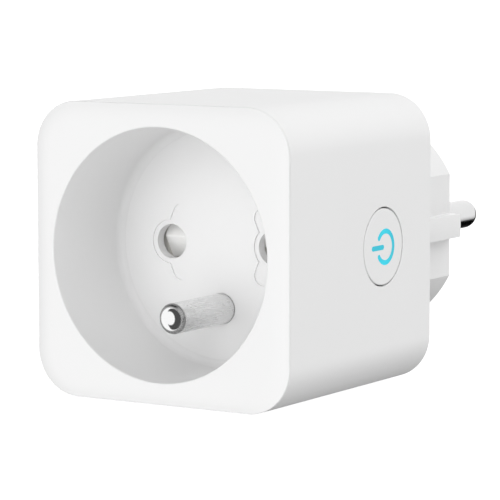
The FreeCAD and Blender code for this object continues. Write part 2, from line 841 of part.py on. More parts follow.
def make_socket_contact(name, side):
    """A forked spring contact: two leaves that grip the pin, a base and a solder tab."""
    centre = f"{side}pin_offset"
    inner = "(leaf_gap / 2)"
    outer = "(leaf_gap / 2 + leaf_thickness)"
    heights = ("-leaf_half_height", "leaf_half_height")
    base_back = "(contact_base_depth + leaf_thickness)"
    leaves = []
    for low, high in ((f"-{outer}", f"-{inner}"), (inner, outer)):
        leaves.append(block((f"{centre} + {low}", f"{centre} + {high}"),
                            (deep("leaf_front"), deep("contact_base_depth")), heights))
    base = block((f"{centre} - {outer}", f"{centre} + {outer}"),
                 (deep("contact_base_depth"), deep(base_back)), heights)
    tab = block((f"{centre} - leaf_thickness", f"{centre} + leaf_thickness"),
                (deep(base_back), deep("board_front")), ("-contact_tab_half", "contact_tab_half"))
    node(name, joined(*leaves, base, tab))


def make_contact_clips():
    """A steel clip round each pair of leaves, which keeps the contact's grip."""
    clips = []
    inner = "(leaf_gap / 2 + leaf_thickness)"
    outer = f"({inner} + clip_thickness)"
    depths = (deep("clip_front"), deep("clip_back"))
    low_edge = "(-leaf_half_height - clip_thickness)"
    for side in ("-", ""):
        centre = f"{side}pin_offset"
        around = block((f"{centre} - {outer}", f"{centre} + {outer}"), depths,
                       (low_edge, "leaf_half_height"))
        hollow = block((f"{centre} - {inner}", f"{centre} + {inner}"), depths,
                       ("-leaf_half_height", "leaf_half_height"))
        clips.append(without(around, hollow))
    node("contact_clips", group(*clips))


# ---- body shell and rear cover --------------------------------------------------------------------

def make_body_shell():
    """The square tube of the body, with the button's hole in its right-hand wall."""
    shell = new_body("body_shell")
    y_pad(shell, deep("parting_depth"), BACK,
          lambda s: add_rounded_square(s, HALF_WIDTH, "corner_radius"))
    y_pocket(shell, deep("parting_depth"), BACK,
             lambda s: add_rounded_square(s, SHELL_INSIDE, INSERT_CORNER))
    x_pocket(shell, SHELL_INSIDE, HALF_WIDTH,
             lambda s: add_circle(s, deep("button_depth"), "0", "button_hole_radius"))


def make_rear_cover():
    """The back wall and the hollow plug boss, one moulding."""
    rear = new_body("rear_cover")
    plate_front = f"({BACK} - rear_plate)"
    y_pad(rear, plate_front, BACK,
          lambda s: add_rounded_square(s, INSERT_HALF, INSERT_CORNER))
    y_pad(rear, BACK, "0", lambda s: add_circle(s, "0", "0", "boss_radius"))
    y_pocket(rear, plate_front, "(-boss_end_wall)",
             lambda s: add_circle(s, "0", "0", "boss_cavity_radius"))
    beyond = f"(boss_radius + {SPILL})"
    flats = ((f"(-{beyond})", "-flat_offset"), ("flat_offset", beyond))
    beside_rib = ((f"(-{beyond} / 2)", "-rib_half_height"), ("rib_half_height", f"({beyond} / 2)"))
    for x_low, x_high in flats:
        for z_low, z_high in beside_rib:
            y_pocket(rear, BACK, "0", lambda s: add_rectangle(s, x_low, x_high, z_low, z_high))
    for z_low, z_high in ((f"(-{beyond})", "-notch_floor"), ("notch_floor", beyond)):
        y_pocket(rear, BACK, "0",
                 lambda s: add_rectangle(s, "-notch_half_width", "notch_half_width", z_low, z_high))
    for z_low, z_high in (("-clip_slot_top", "-notch_floor"), ("notch_floor", "clip_slot_top")):
        y_pocket(rear, plate_front, BACK,
                 lambda s: add_rectangle(s, "-clip_slot_half_width", "clip_slot_half_width",
                                         z_low, z_high))
    for side in ("-", ""):
        bored = y_pocket(rear, "(-boss_end_wall)", "0",
                         lambda s: add_circle(s, f"{side}pin_offset", "0",
                                              "(pin_shank_radius + pin_bore_gap)"))
        dress(rear, "Chamfer", bored, "Size", "pin_taper + pin_bore_gap",
              lambda e: is_circle(e, "(pin_shank_radius + pin_bore_gap)", "y", "0")
              and abs(e.Curve.Center.x - value(f"{side}pin_offset")) < 1e-4)
    y_pocket(rear, "(-boss_end_wall)", "0",
             lambda s: add_circle(s, "0", "-earth_offset", "earth_bore_radius"))


# ---- earth parts ----------------------------------------------------------------------------------

def make_earth_clip(name, way):
    """A side earth contact: a strip in the boss's notch whose front end reaches the earth ring."""
    clip = new_body(name)
    ring_back = deep("(ring_front + ring_thickness)")
    inner, outer = f"{way}earth_clip_inner", f"{way}earth_clip_outer"
    end = "(-earth_clip_end)"
    seat = f"{way}notch_floor"
    outline = [
        (ring_back, inner),
        (f"({end} - strip_thickness)", inner),
        (f"({end} - strip_thickness)", seat),
        (end, seat),
        (end, outer),
        (ring_back, outer),
    ]
    x_pad(clip, "-earth_clip_half_width", "earth_clip_half_width", lambda s: add_polygon(s, outline))


def make_earth_ring():
    """A flat half ring that joins both side contacts, the hole contact and the socket's strap."""
    y_range = (deep("ring_front"), deep("(ring_front + ring_thickness)"))
    outer = rod("y", "ring_outer", *y_range, ("0", "0"))
    inner = rod("y", "ring_inner", *y_range, ("0", "0"))
    right_half = block(("earth_clip_half_width", f"(ring_outer + {SPILL})"), y_range,
                       (f"(-ring_outer - {SPILL})", f"(ring_outer + {SPILL})"))
    pad = block(("-strap_half_width", "strap_half_width"), y_range,
                ("(-ring_inner - strip_thickness)", "-strap_high"))
    node("earth_ring", joined(without(outer, inner, right_half), pad))


def make_earth_hole_contact():
    """The sprung tube behind the boss's earth hole, on a foot that meets the earth ring."""
    across = ("0", "-earth_offset")
    ring_back = deep("(ring_front + ring_thickness)")
    tube = without(rod("y", "earth_tube_outer", deep("earth_tube_front"), "(-boss_end_wall)", across),
                   rod("y", "earth_tube_inner", deep("(earth_tube_front + strip_thickness)"),
                       "(-boss_end_wall)", across))
    leg = block(("-strap_half_width", "strap_half_width"), (ring_back, deep("earth_tube_front")),
                ("-strap_low", "-strap_high"))
    node("earth_hole_contact", joined(tube, leg))


def make_earth_strap():
    """A strip from the socket earth pin's tail, through the main board, to the earth ring."""
    foot_front = deep("(carrier_front + carrier_plate)")
    foot_back = f"({foot_front} + strip_thickness)"
    foot = block(("-strap_half_width", "strap_half_width"), (foot_front, foot_back),
                 ("-strap_low", "-strap_foot_top"))
    leg = block(("-strap_half_width", "strap_half_width"), (foot_front, deep("ring_front")),
                ("-strap_low", "-strap_high"))
    eye = rod("y", "(pin_tail_radius + rivet_gap)", foot_front, foot_back, ("0", "-earth_offset"))
    node("earth_strap", without(joined(foot, leg), eye))


# ---- boards and busbars ---------------------------------------------------------------------------

def make_main_board():
    """The power board, with a slot for the earth strap."""
    board = new_body("main_board")
    y_pad(board, deep("board_front"), deep(BOARD_BACK),
          lambda s: add_rounded_square(s, "board_half_size", "board_corner"))
    y_pocket(board, deep("board_front"), deep(BOARD_BACK),
             lambda s: add_rectangle(s, "-strap_slot_half", "strap_slot_half",
                                     "-strap_slot_low", "-strap_slot_high"))


def make_busbar(name, side):
    """A strip from a plug pin's tail to the main board."""
    tail_front = "(-boss_end_wall - pin_collar_thickness - pin_tail_length)"
    foot = (f"({tail_front} + bus_foot_inset)", f"({tail_front} + bus_foot_inset + strip_thickness)")
    foot_x = ["bus_foot_inner", "bus_leg_outer"]
    leg_x = ["bus_leg_inner", "bus_leg_outer"]
    if side == "-":
        foot_x = [f"-{place}" for place in reversed(foot_x)]
        leg_x = [f"-{place}" for place in reversed(leg_x)]
    heights = ("-bus_half_height", "bus_half_height")
    bar = joined(block(foot_x, foot, heights), block(leg_x, (deep(BOARD_BACK), foot[1]), heights))
    eye = rod("y", "(pin_tail_radius + rivet_gap)", *foot, (f"{side}pin_offset", "0"))
    node(name, without(bar, eye))


# ---- relay ----------------------------------------------------------------------------------------

def make_relay():
    """The load relay, which stands on the main board inside the boss."""
    width = ("-relay_half_width", "relay_half_width")
    height = ("-relay_low", "relay_high")
    inside_width = ("(relay_case_wall - relay_half_width)", "(relay_half_width - relay_case_wall)")
    inside_height = ("(relay_case_wall - relay_low)", "(relay_high - relay_case_wall)")
    base_back = deep("relay_base_back")
    node("relay_base", block(width, (deep(BOARD_BACK), base_back), height))
    node("relay_case", without(block(width, (base_back, deep("relay_case_back")), height),
                               block(inside_width, (base_back, deep("(relay_case_back - relay_case_wall)")),
                                     inside_height)))
    centre = ("0", "coil_height")
    flange_x = ("-bobbin_half", "bobbin_half")
    flange_z = ("(coil_height - bobbin_half)", "(coil_height + bobbin_half)")
    front_flange = block(flange_x, (deep("(coil_front - bobbin_flange)"), deep("coil_front")), flange_z)
    back_flange = block(flange_x, (deep("coil_back"), deep("(coil_back + bobbin_flange)")), flange_z)
    hub = rod("y", "bobbin_hub_radius", deep("coil_front"), deep("coil_back"), centre)
    bore = rod("y", "(core_radius + slip_gap)", deep("(coil_front - bobbin_flange)"),
               deep("(coil_back + bobbin_flange)"), centre)
    node("relay_bobbin", without(joined(front_flange, back_flange, hub), bore))
    node("relay_coil", without(rod("y", "coil_radius", deep("coil_front"), deep("coil_back"), centre),
                               rod("y", "(bobbin_hub_radius + winding_gap)", deep("coil_front"),
                                   deep("coil_back"), centre)))
    core = rod("y", "core_radius", deep("yoke_foot_back"), deep("core_head_back"), centre)
    head = rod("y", "core_head_radius", deep("core_head_front"), deep("core_head_back"), centre)
    node("relay_core", joined(core, head))
    yoke_x = ("-yoke_half_width", "yoke_half_width")
    yoke_foot = block(yoke_x, (deep("yoke_foot_front"), deep("yoke_foot_back")),
                      ("-yoke_low", "(coil_height + core_radius + yoke_margin)"))
    yoke_leg = block(yoke_x, (deep("yoke_foot_front"), deep("core_head_back")), ("-yoke_low", "-yoke_high"))
    node("relay_yoke", joined(yoke_foot, yoke_leg))
    make_armature()


def make_armature():
    """The armature with its contact arm, and the contact that it closes on."""
    plate = block(("-yoke_high", "yoke_high"), (deep("armature_front"), deep("armature_back")),
                  ("-yoke_low", "armature_far"))
    pivot_y = deep("(core_head_back + knuckle_lift)")
    pivot_z = "(-yoke_low / 2 - yoke_high / 2)"
    knuckle = rod("x", "knuckle_radius", "-yoke_high", "yoke_high", (pivot_y, pivot_z))
    heel = block(("-yoke_high", "yoke_high"), (pivot_y, deep("armature_front")),
                 (f"({pivot_z} - knuckle_radius)", f"({pivot_z} + knuckle_radius)"))
    node("relay_armature", joined(plate, knuckle, heel))
    arm = block(("-arm_half_width", "arm_half_width"),
                (deep("armature_back"), deep("(armature_back + arm_thickness)")),
                ("-arm_root", "arm_far"))
    moving = rod("y", "contact_radius", deep("moving_contact_front"), deep("armature_back"),
                 ("0", "contact_height"))
    node("relay_contact_arm", joined(arm, moving))
    strip = block(("-arm_half_width", "arm_half_width"), (deep("relay_base_back"), deep("fixed_plate_back")),
                  ("fixed_strip_inner", "fixed_strip_outer"))
    shelf = block(("-arm_half_width", "arm_half_width"),
                  (deep("(fixed_plate_back - leaf_thickness)"), deep("fixed_plate_back")),
                  ("(contact_height - contact_radius)", "fixed_strip_outer"))
    button = rod("y", "contact_radius", deep("fixed_plate_back"), deep("fixed_contact_back"),
                 ("0", "contact_height"))
    node("relay_fixed_contact", joined(strip, shelf, button))


# ---- parts on the main board ----------------------------------------------------------------------

def on_board(length):
    """The Y range of something that stands on the main board's front face."""
    return deep(f"(board_front - {length})"), deep("board_front")


def make_tall_parts():
    """The capacitors, the choke, the varistor and the fuse."""
    cans = []
    for x in ("-can_left", "-can_right"):
        neck_low = deep("(board_front - can_neck_height - can_neck_length)")
        neck_high = deep("(board_front - can_neck_height)")
        around = without(rod("y", "can_radius", neck_low, neck_high, (x, "can_z")),
                         rod("y", "can_neck_radius", neck_low, neck_high, (x, "can_z")))
        cans.append(without(rod("y", "can_radius", *on_board("can_height"), (x, "can_z")), around))
    node("smoothing_capacitors", group(*cans))

    centre = ("choke_x", "choke_z")
    top_flange = (deep("(board_front - choke_height)"), deep("(board_front - choke_height + choke_flange)"))
    node("inductor", joined(rod("y", "choke_radius", *on_board("choke_height"), centre),
                            rod("y", "choke_flange_radius", *on_board("choke_flange"), centre),
                            rod("y", "choke_flange_radius", *top_flange, centre)))

    middle = "((disc_left + disc_right) / 2)"
    centre = (deep("(board_front - disc_height)"), "disc_z")
    pieces = [rod("x", "disc_radius", "disc_left", "disc_right", centre)]
    for sign in "-+":
        lead = f"(disc_z {sign} disc_lead_offset)"
        pieces.append(block((f"({middle} - disc_lead_half)", f"({middle} + disc_lead_half)"),
                            on_board("disc_lead_top"),
                            (f"({lead} - disc_lead_half)", f"({lead} + disc_lead_half)")))
    node("varistor", joined(*pieces))

    centre = (deep("(board_front - fuse_height)"), "-fuse_z")
    tube = rod("x", "fuse_radius", "-fuse_left", "-fuse_right", centre)
    left_cap = rod("x", "fuse_cap_radius", "-fuse_left", "(-fuse_left + fuse_cap_length)", centre)
    right_cap = rod("x", "fuse_cap_radius", "(-fuse_right - fuse_cap_length)", "-fuse_right", centre)
    node("fuse", joined(tube, left_cap, right_cap))


def make_chip(name, x, z, half_width, half_height, top, leg_rows):
    """A moulded chip with bent legs along its left and right sides."""
    body = block((f"({x} - {half_width})", f"({x} + {half_width})"),
                 (deep(f"(board_front - {top})"), deep("(board_front - chip_foot)")),
                 (f"({z} - {half_height})", f"({z} + {half_height})"))
    legs = []
    knee = f"({top} / 2)"
    for row in range(leg_rows):
        level = f"({z} + ({row} - {leg_rows - 1} / 2) * leg_pitch)"
        heights = (f"({level} - leg_half)", f"({level} + leg_half)")
        shoulder = (deep(f"(board_front - {knee} - leg_half)"), deep(f"(board_front - {knee} + leg_half)"))
        for sign in "-+":
            ends = [f"({x} {sign} {half_width})", f"({x} {sign} ({half_width} + leg_reach))"]
            shin = [f"({x} {sign} ({half_width} + leg_reach - leg_half))", ends[1]]
            if sign == "-":
                ends.reverse()
                shin.reverse()
            legs.append(block(ends, shoulder, heights))
            legs.append(block(shin, (shoulder[0], deep("board_front")), heights))
    node(name, joined(body, *legs))


def make_board_parts():
    """The power supply and the measuring parts, on the main board's front face."""
    make_tall_parts()
    make_chip("bridge_rectifier", "(-bridge_x)", "(-bridge_z)", "bridge_half_width",
              "bridge_half_height", "bridge_top", 2)
    make_chip("buck_regulator", "chip_x", "(-buck_z)", "chip_half", "chip_half", "chip_top", 4)
    make_chip("metering_chip", "chip_x", "(-meter_z)", "chip_half", "chip_half", "chip_top", 4)
    heights = ("-shunt_low", "-shunt_high")
    bridge_depths = (deep("(board_front - shunt_lift - strip_thickness)"),
                     deep("(board_front - shunt_lift)"))
    bridge = block(("shunt_left", "shunt_right"), bridge_depths, heights)
    left = block(("shunt_left", "(shunt_left + strip_thickness)"), on_board("shunt_lift"), heights)
    right = block(("(shunt_right - strip_thickness)", "shunt_right"), on_board("shunt_lift"), heights)
    node("current_shunt", joined(bridge, left, right))


# ---- control board, radio and switch --------------------------------------------------------------

def make_control_board():
    """The upright control board with its radio module, lamps, push switch and link pins."""
    inner = "(control_face - control_thickness)"
    node("control_board", block((inner, "control_face"), (deep("control_front"), deep("board_front")),
                                ("-control_low", "control_high")))
    pins = []
    for i in range(int(value("link_count"))):
        low = f"(-control_low + link_margin + {i} * link_pitch)"
        pins.append(block((f"({inner} - leaf_thickness)", inner),
                          (deep("(board_front - link_length)"), deep("board_front")),
                          (low, f"({low} + leaf_thickness)")))
    node("board_link_pins", group(*pins))
    radio_face = "(control_face + radio_thickness)"
    node("wifi_module", block(("control_face", radio_face),
                              (deep("radio_front"), deep("radio_back")), ("radio_low", "radio_high")))
    node("wifi_shield", block((radio_face, f"({radio_face} + shield_height)"),
                              (deep("shield_front"), deep("(radio_back - shield_margin)")),
                              ("(radio_low + shield_margin)", "(radio_high - shield_margin)")))
    lamps = []
    for way in ("-", ""):
        centre = f"({way}led_offset)"
        lamps.append(block(("control_face", "(control_face + lamp_height)"),
                           (deep("(button_depth - lamp_half)"), deep("(button_depth + lamp_half)")),
                           (f"({centre} - lamp_half_width)", f"({centre} + lamp_half_width)")))
    node("status_leds", group(*lamps))
    make_switch()


def make_switch():
    """The push switch under the button: case, snap dome and plunger."""
    centre = (deep("button_depth"), "0")
    case = block(("control_face", "switch_top"),
                 (deep("(button_depth - switch_half)"), deep("(button_depth + switch_half)")),
                 ("-switch_half", "switch_half"))
    well = rod("x", "(plunger_radius + switch_gap)", "(control_face + dome_well_floor)", "switch_top",
               centre)
    chamber = rod("x", "(dome_radius + switch_gap)", "(control_face + dome_well_floor)",
                  "(control_face + dome_well_top)", centre)
    node("switch_case", without(case, well, chamber))
    node("switch_plunger", rod("x", "plunger_radius", "plunger_foot", "plunger_tip", centre))
    dome = doc.addObject("Part::Cone", "dome")
    dome.Placement = FreeCAD.Placement(V(), TURNS["x"])
    bind(dome, "Radius1", "dome_radius")
    bind(dome, "Radius2", "dome_top_radius")
    bind(dome, "Height", "dome_height")
    bind(dome, "Placement.Base.x", "control_face + dome_base")
    bind(dome, "Placement.Base.y", centre[0])
    node("switch_dome", dome)


# ---- button ---------------------------------------------------------------------------------------

def symbol_arc(sketch):
    """The open ring of the power mark: an arc of constant width with round ends, open to the front."""
    centre = V(value(deep("symbol_depth")), -value("symbol_drop"), 0)
    mean, half = value("symbol_radius"), value("symbol_stroke") / 2
    gap = math.radians(value("symbol_gap_angle"))
    start, end = gap - math.pi, math.pi - gap
    axis = V(0, 0, 1)
    outer = Part.ArcOfCircle(Part.Circle(centre, axis, mean + half), start, end)
    inner = Part.ArcOfCircle(Part.Circle(centre, axis, mean - half), start, end)
    caps = []
    for angle, turn in ((end, 0), (start, math.pi)):
        middle = centre + V(math.cos(angle), math.sin(angle), 0) * mean
        cap = Part.Circle(middle, axis, half)
        caps.append(Part.ArcOfCircle(cap, angle + turn, angle + turn + math.pi))
    for arc in (outer, inner, *caps):
        sketch.addGeometry(arc)
    # the ring's ends: the first cap joins the outer end to the inner end, the second the inner start
    for first, first_end, second, second_end in ((0, 2, 2, 1), (2, 2, 1, 2), (1, 1, 3, 1), (3, 2, 0, 1)):
        sketch.addConstraint(Sketcher.Constraint("Coincident", first, first_end, second, second_end))
    for number, radius in ((0, "(symbol_radius + symbol_stroke / 2)"),
                           (1, "(symbol_radius - symbol_stroke / 2)")):
        held = sketch.addConstraint(Sketcher.Constraint("Radius", number, value(radius)))
        bind(sketch, f"Constraints[{held}]", radius)
        fix_point(sketch, number, 3, deep("symbol_depth"), "-symbol_drop")


def symbol_bar(sketch):
    """The bar of the power mark: a short strip with round ends."""
    half = value("symbol_stroke") / 2
    level = -value("symbol_drop")
    front, back = V(value(deep("bar_front")), level, 0), V(value(deep("bar_back")), level, 0)
    up, axis = V(0, half, 0), V(0, 0, 1)
    sketch.addGeometry(Part.LineSegment(front - up, back - up))
    sketch.addGeometry(Part.ArcOfCircle(Part.Circle(back, axis, half), -math.pi / 2, math.pi / 2))
    sketch.addGeometry(Part.LineSegment(back + up, front + up))
    sketch.addGeometry(Part.ArcOfCircle(Part.Circle(front, axis, half), math.pi / 2, 1.5 * math.pi))
    for i in range(4):
        sketch.addConstraint(Sketcher.Constraint("Tangent", i, 2, (i + 1) % 4, 1))
    fix_point(sketch, 1, 3, deep("bar_back"), "-symbol_drop")
    fix_point(sketch, 3, 3, deep("bar_front"), "-symbol_drop")
    held = sketch.addConstraint(Sketcher.Constraint("Radius", 1, half))
    bind(sketch, f"Constraints[{held}]", "symbol_stroke / 2")


def make_button():
    """The button cap and the clear mark moulded through it."""
    centre = (deep("button_depth"), "0")
    button = new_body("button_cap")
    x_pad(button, "button_flange_inner", "button_flange_outer",
          lambda s: add_circle(s, *centre, "button_flange_radius"))
    x_pad(button, "button_flange_outer", HALF_WIDTH, lambda s: add_circle(s, *centre, "button_radius"))
    x_pocket(button, "button_flange_inner", "button_web_inner",
             lambda s: add_circle(s, *centre, "button_skirt_radius"))
    x_pad(button, "plunger_tip", "button_web_inner", lambda s: add_circle(s, *centre, "stem_radius"))
    x_pocket(button, "button_web_inner", HALF_WIDTH, symbol_arc)
    cut = x_pocket(button, "button_web_inner", HALF_WIDTH, symbol_bar)
    dress(button, "Fillet", cut, "Radius", "edge_break",
          lambda e: is_circle(e, "button_radius", "x", HALF_WIDTH))
    lens = new_body("symbol_lens")
    x_pad(lens, "lens_back_inner", "button_web_inner", lambda s: add_circle(s, *centre, "lens_back_radius"))
    x_pad(lens, "button_web_inner", HALF_WIDTH, symbol_arc)
    x_pad(lens, "button_web_inner", HALF_WIDTH, symbol_bar)
    x_pocket(lens, "lens_back_inner", "button_web_inner",
             lambda s: add_circle(s, *centre, "(stem_radius + slip_gap)"))


# ---- build, check and write -----------------------------------------------------------------------

make_front_cover()
make_socket_floor()
make_carrier_screws()
make_plug_pin("plug_pin_line", "-pin_offset")
make_plug_pin("plug_pin_neutral", "pin_offset")
make_socket_earth_pin()
make_shutter()
make_shutter_spring()
make_contact_carrier()
make_socket_contact("line_contact", "-")
make_socket_contact("neutral_contact", "")
make_contact_clips()
make_body_shell()
make_rear_cover()
make_earth_clip("earth_clip_top", "")
make_earth_clip("earth_clip_bottom", "-")
make_earth_ring()
make_earth_hole_contact()
make_earth_strap()
make_main_board()
make_busbar("line_busbar", "-")
make_busbar("neutral_busbar", "")
make_relay()
make_board_parts()
make_control_board()
make_button()
doc.recompute()

for item in doc.Objects:
    if "Invalid" in item.State or "Error" in item.State:
        raise RuntimeError(f"{item.Name} ({item.Label}) failed: {item.State}")
for name, item in NODES.items():
    if item.Shape.isNull() or not item.Shape.isValid() or not item.Shape.Solids:
        raise RuntimeError(f"{name} has no valid solid")

os.makedirs("parts", exist_ok=True)
for name, item in NODES.items():
    item.Shape.exportStep(f"parts/{name}.step")
    print(f"{name}: {len(item.Shape.Solids)} solid(s), {item.Shape.Volume:.2f} mm3")
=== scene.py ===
import math

import bmesh
import bpy
import numpy as np
from mathutils import Matrix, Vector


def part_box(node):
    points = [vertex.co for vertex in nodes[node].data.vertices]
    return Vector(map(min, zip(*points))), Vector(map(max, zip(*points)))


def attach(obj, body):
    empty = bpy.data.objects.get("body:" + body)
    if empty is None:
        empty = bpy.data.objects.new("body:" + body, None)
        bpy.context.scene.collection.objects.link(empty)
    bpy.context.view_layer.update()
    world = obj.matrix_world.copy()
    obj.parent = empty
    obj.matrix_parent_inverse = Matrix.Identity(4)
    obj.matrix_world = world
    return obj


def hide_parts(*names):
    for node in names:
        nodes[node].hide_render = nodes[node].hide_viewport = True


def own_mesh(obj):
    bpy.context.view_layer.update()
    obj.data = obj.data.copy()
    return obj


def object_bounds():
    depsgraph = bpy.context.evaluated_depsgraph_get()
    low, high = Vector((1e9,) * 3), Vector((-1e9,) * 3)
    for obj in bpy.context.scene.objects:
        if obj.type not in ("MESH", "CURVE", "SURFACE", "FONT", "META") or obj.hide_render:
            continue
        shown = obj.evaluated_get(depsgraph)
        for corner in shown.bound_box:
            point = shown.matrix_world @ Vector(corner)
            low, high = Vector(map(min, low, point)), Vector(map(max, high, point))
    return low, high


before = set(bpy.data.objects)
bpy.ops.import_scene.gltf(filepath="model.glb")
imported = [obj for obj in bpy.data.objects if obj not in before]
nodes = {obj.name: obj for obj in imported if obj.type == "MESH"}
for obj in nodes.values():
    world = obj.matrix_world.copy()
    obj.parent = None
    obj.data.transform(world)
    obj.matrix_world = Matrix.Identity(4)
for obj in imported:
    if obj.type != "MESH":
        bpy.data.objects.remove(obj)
cad_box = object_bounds()

# ---- camera ---------------------------------------------------------------------------------------
# A long lens on a tripod, to the right of the socket and a little above its middle, so that the
# front face, the side with the button and the end of the plug all show.
EYE = (0.240986, -0.419197, 0.049571)
YAW, PITCH, ROLL = (math.radians(angle) for angle in (32.226, -6.465, -0.098))

camera = bpy.data.objects.new("camera", bpy.data.cameras.new("camera"))
camera.data.lens = 205.43
camera.data.sensor_width = 36.0
camera.data.clip_start = 0.01
camera.data.clip_end = 200.0
aim = Matrix.Rotation(YAW, 4, "Z") @ Matrix.Rotation(math.pi / 2 + PITCH, 4, "X")
camera.matrix_world = Matrix.Translation(EYE) @ aim @ Matrix.Rotation(ROLL, 4, "Z")
bpy.context.scene.collection.objects.link(camera)
bpy.context.scene.camera = camera
bpy.context.scene.view_settings.view_transform = "Standard"


# ---- studio ---------------------------------------------------------------------------------------
# Round softboxes stand about the object, each a cone of directions that fades at its edge, over a
# white sheet. The bright metal mirrors white panels instead, with a black card before and one behind.

class Wire:
    """A socket of a node tree that arithmetic can be written on."""

    def __init__(self, tree, socket):
        self.tree = tree
        self.socket = socket

    def math(self, operation, *others):
        """A Math node on this value and up to two more."""
        return self.tree.node("Math", {"operation": operation}, dict(enumerate((self, *others))))

    def blend(self, low, high):
        """The colour between two others, low where this value is 0 and high where it is 1."""
        return self.tree.node("Mix", {"data_type": "RGBA"}, {0: self, 6: low, 7: high}, output=2)

    def step(self, low, high, smooth=True):
        """0 below low and 1 above high, rising between them; falling if low is above high."""
        kind = {"interpolation_type": "SMOOTHSTEP" if smooth else "LINEAR"}
        if low > high:
            return 1.0 - self.step(high, low, smooth)
        return self.tree.node("MapRange", kind, {"Value": self, "From Min": low, "From Max": high})

    def __add__(self, other):
        return self.math("ADD", other)

    def __sub__(self, other):
        return self.math("SUBTRACT", other)

    def __rsub__(self, other):
        return (self * -1.0) + other

    def __mul__(self, other):
        return self.math("MULTIPLY", other)

    __radd__ = __add__
    __rmul__ = __mul__


class Tree:
    """A node tree, in which one method makes any node."""

    def __init__(self, tree):
        self.tree = tree
        tree.nodes.clear()

    def node(self, kind, settings=None, inputs=None, output=0):
        """A node of a kind, with its settings, then its sockets' values or wires."""
        made = self.tree.nodes.new("ShaderNode" + kind)
        for name, value in (settings or {}).items():
            setattr(made, name, value)
        for name, value in (inputs or {}).items():
            if isinstance(value, Wire):
                self.tree.links.new(value.socket, made.inputs[name])
            else:
                made.inputs[name].default_value = value
        return Wire(self, made.outputs[output]) if len(made.outputs) else None


world = bpy.data.worlds.new("studio")
world.use_nodes = True
bpy.context.scene.world = world
sky = Tree(world.node_tree)
heading = sky.node("TexCoord")


def cone(direction, inner, outer):
    """1 within inner degrees of a direction, falling smoothly to 0 at outer degrees."""
    unit = np.array(direction) / np.linalg.norm(direction)
    near = sky.node("VectorMath", {"operation": "DOT_PRODUCT"}, {0: heading, 1: unit}, output=1)
    return near.step(math.cos(math.radians(outer)), math.cos(math.radians(inner)))


SPREAD = 48.0
SOFTBOXES = {
    "front": ((0, -1, 0), 1.85),
    "front_left": ((-1, -1, 0), 1.5),
    "front_low": ((0, -1, -1), 0.9),
    "front_right_high": ((1, -1, 1), 1.8),
    "right_low": ((1, 0, -0.8), 1.7),
    "back_right_high": ((1, 1, 1), 1.6),
    "back_high": ((0, 1, 1), 2.35),
    "back_left": ((-1, 1, 0), 1.4),
}
PANEL_LIMIT, CARD_DEPTH = 1.25, 0.93
light = sum((cone(place, 0.0, SPREAD) * power for place, power in SOFTBOXES.values()), 0.0)
side_panel = cone((0.6, 0.8, 0.0), 0.0, 36.0) * 1.3
panels = (light + side_panel).math("MINIMUM", PANEL_LIMIT)
hole_in_card = cone((-0.563, -0.819, -0.113), 8.5, 9.5)
front_card = cone((-0.32, -0.94, -0.12), 21.0, 22.0) * (1.0 - hole_in_card)
back_card = cone((-0.2, 0.84, -0.5), 28.0, 31.0)
uncovered = 1.0 - (front_card + back_card) * CARD_DEPTH
mirrored = sky.node("LightPath", output=3)
strength = light + mirrored * (panels * uncovered - light)
seen_by_lens = sky.node("LightPath")
lit = sky.node("Background", inputs={"Strength": strength})
white = sky.node("Background", inputs={"Color": (1.0, 1.0, 1.0, 1.0), "Strength": 1.0})
backdrop = sky.node("MixShader", inputs={0: seen_by_lens, 1: lit, 2: white})
sky.node("OutputWorld", inputs={"Surface": backdrop})


def new_material(name):
    """An empty material and its tree."""
    made = bpy.data.materials.new(name)
    made.use_nodes = True
    return made, Tree(made.node_tree)


FLOOR_SIZE = 60.0
FLOOR_GAP = 0.0002
floor_level = cad_box[0][2] - FLOOR_GAP
floor_mesh = bpy.data.meshes.new("studio_floor")
corners = [(x * FLOOR_SIZE, y * FLOOR_SIZE, floor_level) for x, y in ((-1, -1), (1, -1), (1, 1), (-1, 1))]
floor_mesh.from_pydata(corners, [], [(0, 1, 2, 3)])
floor = bpy.data.objects.new("studio_floor", floor_mesh)
bpy.context.scene.collection.objects.link(floor)
sheet, tree = new_material("studio_floor")
paper = tree.node("BsdfDiffuse", inputs={"Color": (0.35, 0.35, 0.35, 1.0)})
glow = tree.node("Emission", inputs={"Strength": 0.9})
above = tree.node("AddShader", inputs={0: paper, 1: glow})
below = tree.node("BsdfTransparent")
underside = tree.node("NewGeometry", output=6)
surface = tree.node("MixShader", inputs={0: underside, 1: above, 2: below})
tree.node("OutputMaterial", inputs={"Surface": surface})
floor_mesh.materials.append(sheet)
floor.visible_diffuse = False
floor.visible_glossy = False
floor.visible_shadow = False

# ---- front cover ----------------------------------------------------------------------------------
# One white polycarbonate moulding: the crowned face, a short lip that stands flush with the body, a
# skirt welded inside it, and the round wall of the recess with its rounded foot. Its tool was polished.
MM = 0.001


def woven(rows, columns, rows_close):
    """The quads of a grid of points whose columns close on themselves, and whose rows may."""
    i = np.arange(rows if rows_close else rows - 1)
    j = np.arange(columns)
    i, j = (index.ravel() for index in np.meshgrid(i, j, indexing="ij"))
    below, right = (i + 1) % rows, (j + 1) % columns
    return np.stack([i * columns + j, i * columns + right, below * columns + right, below * columns + j], 1)


def outward(points, quads):
    """The quads, turned round if the volume that they close is negative."""
    a, b, c, d = (points[quads[:, k]] for k in range(4))
    volume = np.sum(a * (np.cross(b, c) + np.cross(c, d)))
    return quads if volume > 0 else quads[:, ::-1]


